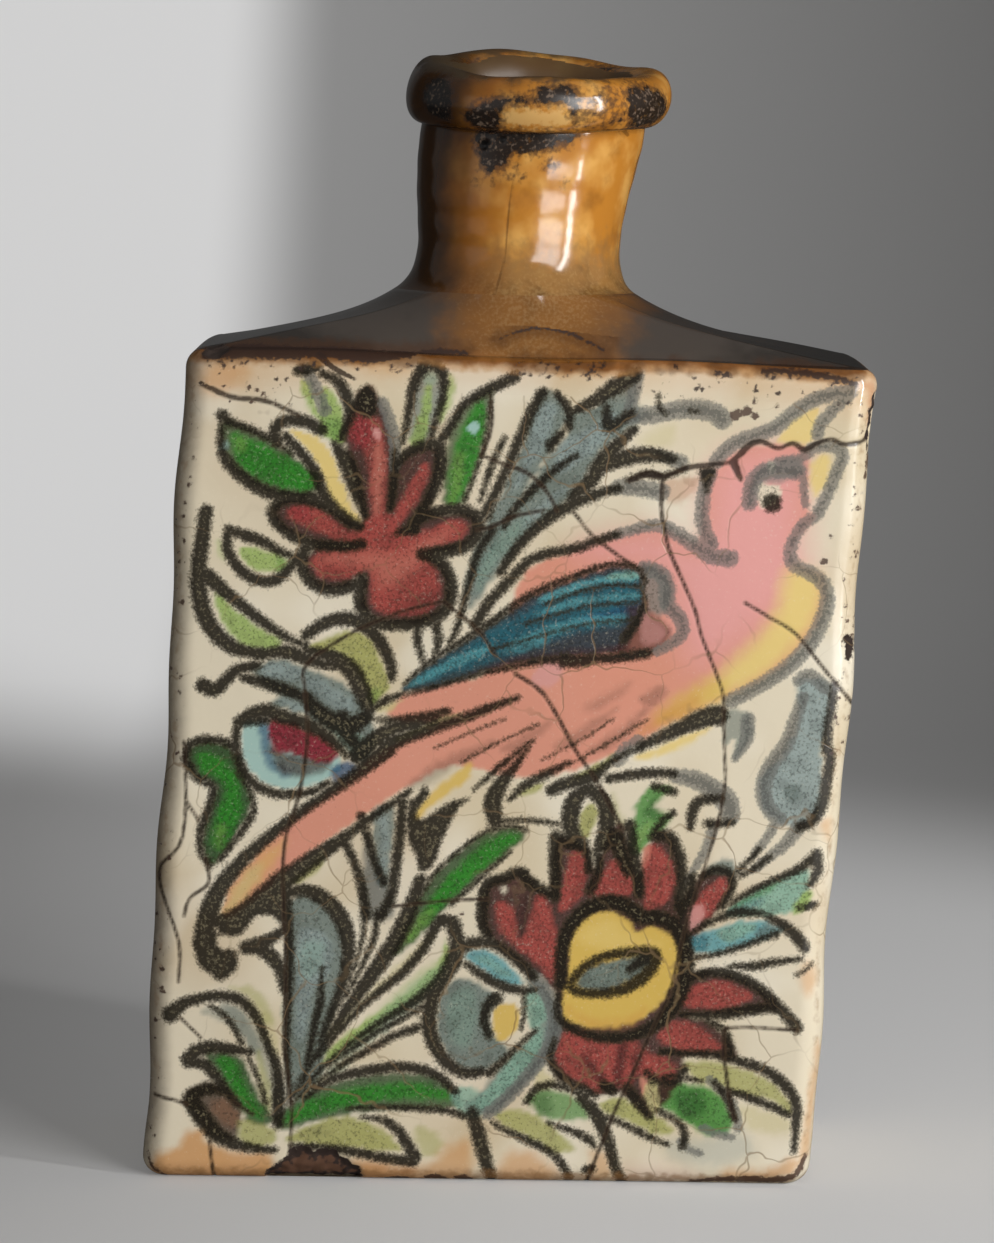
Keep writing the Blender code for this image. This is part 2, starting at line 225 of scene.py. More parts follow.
# The painted panel, mm across from its left edge and up from its foot, one motif at a time
upperLeaves = {"washes": [
    ("deepGreen", 0.85, 0.4, [(6, 114), (9, 113.2), (14, 111), (18, 108.4), (21, 106), (21, 103.6),
        (17, 103), (12.5, 104.2), (8.4, 106.8), (6.4, 110)]),
    ("green", 0.95, 0.6, [(7.6, 112), (10, 111.4), (14, 109.8), (17, 108.3), (20.5, 106.2), (20.6, 104.4),
        (18, 103.8), (13.5, 104.8), (10.4, 106.4), (8.3, 108.8)]),
    ("lime", 0.3, 0.6, [(8, 111.4), (9.6, 111.2), (9.6, 109.4), (8.4, 109.6)]),
    ("turquoise", 0.7, 0.3, [(6.2, 110.7), (7, 110.8), (7.1, 109.7), (6.3, 109.6)]),
    ("yellow", 0.97, 0.3, [(15.9, 112.8), (18.5, 112.5), (20.7, 111.3), (22.5, 108.8), (24.5, 105),
        (26, 102), (27.9, 99.4), (26, 99.9), (24, 101.5), (22.3, 104), (21, 107), (19, 109.8),
        (17.2, 111.5)]),
    ("lime", 0.9, 0.4, [(17, 119.8), (18.6, 119.6), (19.6, 116.6), (20.2, 114.6), (18.8, 115.4)]),
    ("lime", 0.92, 0.4, [(20.3, 118.9), (21.9, 118.6), (23.5, 115), (24, 111.2), (22, 111.4), (20.3, 113),
        (20.2, 116)]),
    ("green", 0.4, 0.6, [(20.6, 114.4), (23.2, 114.6), (23.6, 111.6), (21.8, 111.8)]),
    ("slate", 0.75, 0.5, [(34.2, 122.4), (36, 122.9), (38, 121.6), (38, 118), (36.8, 114), (35.8, 111.8),
        (33.4, 112), (33.6, 117)]),
    ("lime", 0.85, 0.4, [(35.4, 119.6), (36.3, 119.6), (36.1, 114), (35.2, 111), (33.6, 111.4),
        (34.8, 116)]),
    ("celadon", 0.6, 0.5, [(34.8, 122), (37, 122), (36.9, 120.4), (35, 120.4)]),
    ("lime", 0.75, 0.5, [(38.4, 121.9), (39.9, 120.6), (39.1, 117), (37.8, 114.3), (37.4, 116.5),
        (38.4, 119)]),
    ("deepGreen", 0.8, 0.5, [(45.4, 120), (43, 118.8), (40.8, 116.6), (39.2, 113.4), (38.8, 108),
        (39.2, 103.4), (40.4, 102.2), (42.2, 102.8), (43.4, 106.5), (44.4, 111.5), (45, 116.4)]),
    ("green", 0.9, 0.6, [(44, 118.4), (44.4, 115), (43.8, 110.6), (42.8, 106), (41.7, 103), (40.3, 102.8),
        (39.7, 105), (39.8, 109), (40.6, 113), (42.2, 116.4)]),
    ("lime", 0.35, 0.6, [(40, 109.5), (41.4, 110), (41.6, 104.5), (40.4, 103)]),
    ("turquoise", 0.95, 0.25, [(41.7, 114), (42.6, 114.8), (43.5, 114), (42.6, 113)]),
], "ink": [
    ((2, 1.6, 1.4, 0.9), [(5.8, 114.8), (7.4, 113.6), (10.5, 112.6), (14, 110.9), (17, 109)]),
    ((1.2, 2, 2.3, 2), [(5.9, 113.8), (6.2, 110), (7.6, 107.6), (10.4, 105.2), (13.8, 103.5), (17.6, 102.8),
        (20.6, 103)]),
    (2.1, [(14.3, 110.9), (13.7, 112.6), (15, 114.1), (18, 114.1), (20.6, 112.9)], [(16.8, 121.5),
        (19.3, 122.1)]),
    ((1.6, 2, 1.8), [(15.4, 111.8), (17.8, 109.6), (20.2, 106.8), (22, 103.4), (24.4, 100.9), (27.6, 98.8)]),
    ((1.4, 2.8, 2.6, 1.2), [(22.6, 111), (24.6, 108.4), (26.4, 104.8), (28.4, 100.2)]),
    ((1.6, 2.2, 2.2), [(20.3, 121), (22.3, 120.2), (23.8, 118.2), (24.6, 115.4)]),
    ((2.3, 1.8, 1.2), [(35, 123), (33.7, 120), (33.1, 116), (32.4, 111.4)]),
    ((2.3, 1.7, 1.3), [(35, 123.1), (36.8, 123), (38, 121.2), (37.9, 118), (37.2, 115), (36.4, 112)]),
    ((2.2, 2, 1.6, 1.8), [(48.2, 121.9), (45.6, 120.4), (43.2, 119), (41, 117.2), (39.6, 114.6),
        (38.2, 112.2)]),
    (0.9, [(45, 118), (44.7, 113.5), (43.6, 107.5), (42.4, 103)]),
    ((1.2, 1.5, 1), [(47.3, 112.6), (46.1, 109.6), (45.3, 106.4), (44.7, 103.2)]),
    ((1.3, 1.5, 1.1), [(49.6, 112), (48.2, 108), (47, 104.4), (46.2, 100.6)]),
], "grey": [
    (2, [(18.2, 121), (19.5, 118.6), (20.8, 115.8)]),
]}
redFlower = {"washes": [
    ("maroon", 0.95, 0.5, [(26.8, 119.6), (25, 117), (23.7, 112.6), (25, 108), (27.6, 101), (27, 99.4),
        (22, 101.8), (17, 102.6), (14.8, 100.6), (16.4, 98), (21, 96), (19.4, 93.6), (21, 90), (25, 89.6),
        (28, 91.4), (27.8, 87), (31, 84.8), (37, 84.8), (40.6, 88), (40.6, 92.4), (38.4, 95), (42, 95.8),
        (44.9, 98.6), (43.6, 101.4), (38, 101.4), (38.2, 106), (38, 110.6), (34.4, 110.6), (31.8, 108.4),
        (31, 112.6), (28.8, 117.6)]),
    ("madder", 0.85, 0.6, [(24.9, 115.2), (27.2, 115.5), (29, 114), (30, 111), (30.8, 106), (31.2, 101.5),
        (30, 99.5), (28.7, 103), (28.2, 107), (26.6, 110.4), (24.8, 112)]),
    ("crimson", 0.5, 0.8, [(24.6, 115), (27, 115.4), (28, 112), (26.6, 110), (24.6, 112)]),
    ("salmon", 0.35, 0.7, [(28.6, 111), (29.8, 110), (30.4, 104), (30.2, 100.5), (29.4, 101.5),
        (28.9, 106)]),
    ("rose", 0.85, 0.3, [(28.3, 113.3), (29, 113), (29.2, 112), (28.6, 111.8)]),
    ("madder", 0.92, 0.5, [(35.8, 108.4), (36.7, 107.6), (36.2, 104.5), (34.6, 101.3), (33, 99.2),
        (32.2, 100.6), (33.4, 103.5), (34.7, 106.4)]),
    ("madder", 0.95, 0.5, [(34.4, 97), (38, 98.8), (40.5, 100.1), (42.8, 100), (43.2, 98.7), (42, 97.3),
        (39, 96.3), (35.4, 95.6)]),
    ("madder", 0.95, 0.6, [(29.6, 95.4), (33, 96.4), (36.2, 95.4), (38.5, 93.6), (39.4, 90.5), (38.8, 87.6),
        (36, 85.8), (32, 86), (29.4, 87.4), (29.2, 91)]),
    ("maroon", 0.45, 1, [(35.4, 88), (39, 89.6), (38.8, 87.4), (36, 85.8), (33, 86)]),
    ("madder", 0.92, 0.5, [(17, 101), (20, 101.5), (22.2, 100.7), (25, 98.8), (29, 97.3), (27, 96.2),
        (23, 97.1), (19.5, 98.6), (17.1, 99.6)]),
    ("crimson", 0.4, 0.8, [(17.4, 101), (19.6, 101.4), (20.4, 99.6), (18, 99.6)]),
    ("madder", 0.95, 0.5, [(20.6, 93.5), (22.4, 95.1), (25.5, 95.4), (30, 95.9), (30.2, 94), (28.2, 92.1),
        (25, 90.9), (21.9, 91.2)]),
    ("madder", 0.95, 0.6, [(27.6, 98.2), (29.6, 100.4), (32, 100.6), (33.4, 98.8), (36, 97.4), (36.4, 95),
        (33, 93.6), (28.6, 93.8)]),
    ("salmon", 0.3, 1.4, [(22, 93.6), (25, 94.6), (30, 95.2), (34, 95), (37, 97), (41, 99), (40, 97.4),
        (35, 92), (31, 90), (29, 92.6)]),
], "ink": [
    ((1.6, 3.4, 3.2), [(26.8, 119), (26.8, 117.6), (27, 116.2)]),
    ((1.4, 2, 1.6), [(25.6, 117.4), (24.4, 114.6), (23.6, 112)]),
    ((1.2, 1.8, 1.4), [(31.4, 110), (31.9, 106), (31.8, 101.6)]),
    ((1.8, 2.1, 2.2, 1.8), [(32, 108.4), (34, 110.4), (37.2, 111.4), (38.2, 109.4), (38.1, 106), (37, 102.6),
        (35.8, 100.4)]),
    ((2, 2.2, 2.3), [(35.4, 99.8), (38.4, 101.3), (42, 101.8), (44.3, 100.8), (45, 98.8), (43.6, 96.6),
        (40.4, 95.5), (37, 94.9)]),
    ((1.2, 2.4), [(33, 98), (35.4, 98.8)]),
    (2.2, [(37, 95), (39.5, 94), (41, 91.5), (41, 88.5), (39.5, 86), (36, 84.6), (31.6, 84.3), (29, 85),
        (27.6, 87.6), (27.9, 91)]),
    (2, [(26.4, 99.2), (23, 101.5), (20, 102.5), (17.4, 102.8), (15.4, 101.8), (14.7, 100.4), (15.6, 98.7),
        (18, 97), (21, 96), (25, 95.8), (28, 96.2)]),
    (2.1, [(19.8, 95.4), (19, 93.4), (19.8, 91), (21.8, 89.5), (24.6, 89.3), (27.6, 90.4)]),
    ((1.8, 1.2), [(36.2, 84.2), (36.4, 81.6), (37.6, 78.6)], [(38.9, 84.6), (39.4, 81.8), (38.9, 79)]),
], "grey": [
    (1.8, [(29.2, 117.2), (30.6, 114.2), (31.4, 111.2), (31.7, 108)]),
]}
leftSprig = {"washes": [
    ("lime", 0.92, 0.4, [(6.4, 88.4), (9.4, 86), (12.5, 83.8), (16.4, 81.6), (15.8, 80.2), (12, 80.4),
        (9.4, 81.8), (7.4, 84.6)]),
    ("lime", 0.9, 0.4, [(10.2, 95.2), (13.4, 95), (16.2, 93.9), (16.8, 92.6), (15, 91.8), (12.4, 91.9),
        (10.8, 93.2)]),
    ("lime", 0.4, 0.5, [(6.6, 96.2), (7.6, 95.6), (8, 93.2), (7, 93.6)]),
    ("green", 0.3, 0.5, [(15.4, 93.8), (17.6, 94), (17.2, 92.2), (15.6, 92)]),
    ("olive", 0.95, 0.4, [(20.6, 80.8), (23, 82), (26.5, 83.2), (29.5, 82), (31.5, 78.5), (32.8, 75.5),
        (32, 73.6), (30.2, 72.2), (29.2, 74.5), (27.6, 77.5), (25, 79.8), (22.4, 80)]),
    ("green", 0.35, 0.5, [(29.6, 74), (31.6, 74.4), (31.4, 72.6), (30, 71.8)]),
    ("deepGreen", 0.95, 0.4, [(3.2, 64.6), (5, 66.2), (8.6, 66), (10.6, 64), (12.6, 60), (13.4, 56.5),
        (12.2, 53), (10.4, 49.8), (8.8, 47.7), (7.2, 49.5), (6.9, 53), (7.6, 57), (8, 59.2), (6, 60.4),
        (3.8, 62)]),
    ("green", 0.92, 0.7, [(4.8, 64.4), (8, 63.9), (10.2, 62), (11.7, 58.5), (12.2, 55.5), (11, 52),
        (9.4, 49.8), (8.4, 51.5), (8.6, 55), (9.4, 58.5), (7.8, 61), (5.4, 61.8)]),
    ("lime", 0.3, 0.6, [(8.8, 53.4), (10, 53.6), (10, 50.6), (9, 50.4)]),
], "ink": [
    ((2.4, 2.7, 2.9, 2.6, 2), [(5, 100.4), (4.6, 97), (4, 93), (3.9, 89), (4.7, 85.8), (6.2, 83),
        (8.6, 80.8), (11, 79.8), (14, 79.5)]),
    ((2.8, 2.2, 2, 1.6, 1.2), [(5.2, 90.8), (8, 88.4), (11, 86.1), (14.5, 83.6), (18, 81.6), (20.2, 80.9)]),
    ((1.7, 2.1, 1.8, 1.4), [(8.3, 97.8), (10.5, 97.1), (13, 96.3), (15.5, 95), (17.8, 94)]),
    ((1.8, 2, 2.1, 1.7), [(8.2, 97), (8.3, 94.5), (10, 91.9), (12.5, 90.4), (15, 90.4), (17, 92),
        (18.8, 94.4)]),
    ((2, 2.5, 2.2, 1.6), [(20, 82.4), (22.5, 84.2), (25.5, 85), (28.5, 84), (31, 81.5), (32.8, 78.2),
        (33.1, 76.4)]),
    ((1.6, 3, 3, 1.7), [(20, 80.2), (24, 79.3), (27, 77.4), (28.6, 74.8), (29.8, 72), (30, 70.8)]),
    ((1.5, 1.7, 1.5), [(3, 63.4), (3.5, 65.5), (5.5, 66.4), (8.8, 66.1), (10.9, 64.4)]),
    ((0.8, 1.5, 1.2), [(10.8, 61.6), (13, 59), (13.9, 56), (13, 53.4), (11.2, 50.6), (9.8, 48.4)]),
    ((1.6, 1.6, 1.4), [(3.1, 63.2), (5, 60.7), (7.5, 59.3), (7.2, 56), (6.6, 53), (6.8, 50), (8.4, 47.6)]),
]}
slateBud = {"washes": [
    ("slate", 0.92, 0.5, [(12.6, 77.4), (16, 78.8), (19, 78.2), (22, 77), (25.5, 75.7), (28.7, 73),
        (30.6, 70), (31, 66.5), (29, 63.4), (26.5, 65.6), (24.2, 68.2), (20, 70.6), (15.6, 71.8),
        (16.6, 73.4), (13.6, 75.4)]),
    ("paleSlate", 0.7, 0.5, [(13.6, 77.2), (17, 78.2), (20, 77.2), (19, 75.7), (16, 75.7)]),
    ("paleSlate", 0.65, 0.6, [(20, 76.4), (24, 75.2), (28, 72), (26.6, 70.8), (23.5, 72.4), (20.6, 74.4)]),
    ("paleSlate", 0.6, 0.5, [(16.6, 72.8), (20, 72.3), (22.4, 71), (19, 71)]),
    ("celadon", 0.35, 0.8, [(24, 69), (28, 68), (30.4, 66.6), (28.6, 64.4), (26.4, 66)]),
    ("turquoise", 0.95, 0.4, [(11.4, 68.8), (13.8, 69.4), (17, 68.8), (22, 67), (26, 64), (25, 61.6),
        (21, 59.6), (16.5, 59.6), (13, 61.6), (11.4, 64.6)]),
    ("blue", 0.7, 0.5, [(13.8, 69.4), (15.4, 69.4), (15.6, 66), (16.6, 63.6), (19, 61.8), (18, 61.1),
        (15.8, 62.2), (14.3, 65)]),
    ("slate", 0.7, 0.5, [(15.2, 66), (17.4, 64.8), (20, 64.6), (24.6, 63.6), (22.6, 61.5), (19, 61.1),
        (16.4, 62.4)]),
    ("maroon", 0.55, 0.6, [(15.6, 65.6), (17.4, 64.8), (20, 64.6), (24.4, 63.6), (22.4, 61.9), (19, 61.5),
        (16.6, 62.9)]),
    ("crimson", 0.97, 0.4, [(15.3, 69.6), (18.5, 69.4), (21, 68.2), (23.6, 67.2), (25.4, 65.4), (25.2, 63.8),
        (22.6, 63.6), (20, 64.4), (17.4, 64.8), (15.7, 65.8)]),
    ("blue", 0.85, 0.6, [(24.8, 62.4), (26.8, 63.8), (28.8, 62.9), (27.8, 60.8), (25.2, 60.6)]),
], "ink": [
    ((2.6, 2.3, 2, 1.8), [(5.4, 74.5), (7, 73.9), (8.6, 75.2), (10.4, 77), (13.2, 77.7)]),
    ((2, 2.5, 2, 1.6, 1.3), [(13.2, 79.3), (17, 79.9), (20, 79), (23, 78.1), (26, 77.6), (28.8, 74.8)]),
    ((1.6, 2.3, 2.2, 1.8), [(11.2, 75.9), (15, 75), (18, 74.1), (20.8, 72.9)]),
    ((2.4, 3, 3.4, 2.4), [(20.6, 73), (22.6, 71), (25, 69.5), (27.5, 69), (29.8, 70.6)]),
    ((2.8, 2.8, 1.8), [(26, 70.2), (27, 67.6), (28.7, 65.6)]),
    ((1.4, 2, 1.6), [(11, 68.8), (13, 69.5), (15, 69.6)]),
    ((1.9, 2.5, 2.6, 2.4, 2, 1.4), [(10.7, 69.2), (12.6, 70.4), (15, 71), (17, 70.2), (20, 69.4),
        (22.6, 68.2), (25.2, 66.2), (26.8, 64.6)]),
    ((1.6, 1.8, 1.7, 1.4), [(10.5, 69), (10.4, 65.6), (11.4, 62.4), (13.3, 60.2), (16, 58.8), (19, 58.5),
        (22, 59), (24.4, 60.4)]),
]}
plumes = {"washes": [
    ("slate", 0.92, 0.5, [(52.2, 119.8), (54.5, 119.8), (56.4, 117), (56, 115), (54.5, 111.5), (52, 107),
        (50, 102.5), (47.5, 97), (45, 92), (43, 89), (44.2, 95), (46.4, 101), (48.4, 107), (50.4, 113),
        (51.4, 117)]),
    ("slate", 0.92, 0.6, [(56.5, 116.5), (60, 117.5), (63.5, 120.5), (65.7, 121.7), (66.2, 118),
        (66.8, 115.4), (64, 113.3), (61.5, 110.8), (60, 108), (58.5, 105.3), (55.5, 101.8), (52, 98.3),
        (49, 94), (46.5, 90.4), (43.6, 87), (44.2, 92), (47, 97), (50, 102.5), (52.5, 107.5), (54.5, 111),
        (56.5, 113.5)]),
    ("paleSlate", 0.75, 0.6, [(56, 112.4), (60, 114.6), (62.6, 117), (63.8, 115.2), (61.5, 112), (58, 109),
        (55.2, 107.4), (54.8, 110)]),
    ("paleSlate", 0.7, 0.6, [(52.4, 117.6), (54.6, 117.4), (53.6, 113), (51.6, 108.6), (49.4, 104.6),
        (50.4, 109.6)]),
    ("paleSlate", 0.55, 0.6, [(51.4, 101), (56.4, 105.4), (55.6, 103.4), (51.6, 99.4)]),
    ("celadon", 0.35, 1, [(46, 95), (50, 100), (52, 100.4), (48, 94), (45, 90)]),
    ("straw", 0.4, 1, [(67, 112.6), (69.4, 114.6), (72, 115.4), (72, 112.6), (69.4, 111.8)]),
    ("rust", 0.45, 0.7, [(71, 107), (75.5, 107.5), (76, 106), (74, 103.8), (71.5, 104.2)]),
    ("slate", 0.5, 0.5, [(65.6, 117.8), (68, 117.4), (68, 116), (65.8, 115.8)]),
], "ink": [
    ((2, 2, 1.8, 1.6), [(52.4, 119.6), (51, 116.5), (49.5, 112.5), (48, 108), (46.2, 103), (44.8, 100)]),
    ((1.4, 1.7, 1.6), [(54.6, 119.5), (56.4, 117.2), (56.7, 114.6)]),
    ((1.6, 2.4, 3, 2.8), [(57.4, 117), (60.5, 118.8), (63, 120.7), (65.3, 122.3)]),
    ((1.6, 2.4, 1.6), [(65.6, 116.8), (62.6, 114.8), (62, 117.4)]),
    ((1.2, 1.7, 1.5), [(58, 110.3), (55.5, 108.5), (53, 106), (50.5, 103), (48.6, 99.6)]),
    ((1.6, 2.4, 2.8, 2.6, 2), [(66.2, 114.4), (63.8, 112), (61.8, 109.5), (60.4, 106.8), (58, 104.2)]),
    ((1.8, 2.6, 2.8, 2.6), [(72, 110.2), (69.6, 110.7), (66.8, 110.6), (63.4, 109.6), (61, 108.4)]),
    ((1.6, 2.3, 2.3, 2, 1.6), [(64.4, 105.6), (61, 104.5), (58, 103), (55.5, 101.3), (53, 99), (50.5, 96),
        (48.4, 92.6)]),
    ((1.6, 1.5, 1.3), [(47, 99), (45, 95.4), (44.1, 92), (43, 88), (42.3, 85), (41.2, 81.8)]),
    ((1, 1.6, 1.1), [(65.6, 107), (68.4, 108), (70.6, 107.6), (74, 108.8)]),
    (1, [(69.3, 119.4), (69.7, 117.6), (70.6, 116.9)]),
    (0.9, [(74.2, 117.4), (75.2, 117.2)]),
], "inkShapes": [
    [(53.2, 112), (54.8, 113.8), (56.8, 115.2), (55.8, 112.5), (54, 110.4)],
    [(75.8, 108.9), (78.6, 109.2), (78.2, 107), (77.4, 105), (76.6, 106.4)],
], "grey": [
    ((2.6, 2.8, 3, 3), [(65.6, 116.4), (69, 116.6), (72, 117.3), (75.4, 117.6), (78, 117), (79, 116.2)]),
    (2, [(66.1, 122), (65.8, 119.5), (65.4, 117.4)]),
    ((2.4, 1.8), [(73.4, 109.7), (70.4, 110.7)]),
    (2.6, [(64.6, 105.8), (67.4, 105.8), (70.8, 105.2)]),
]}
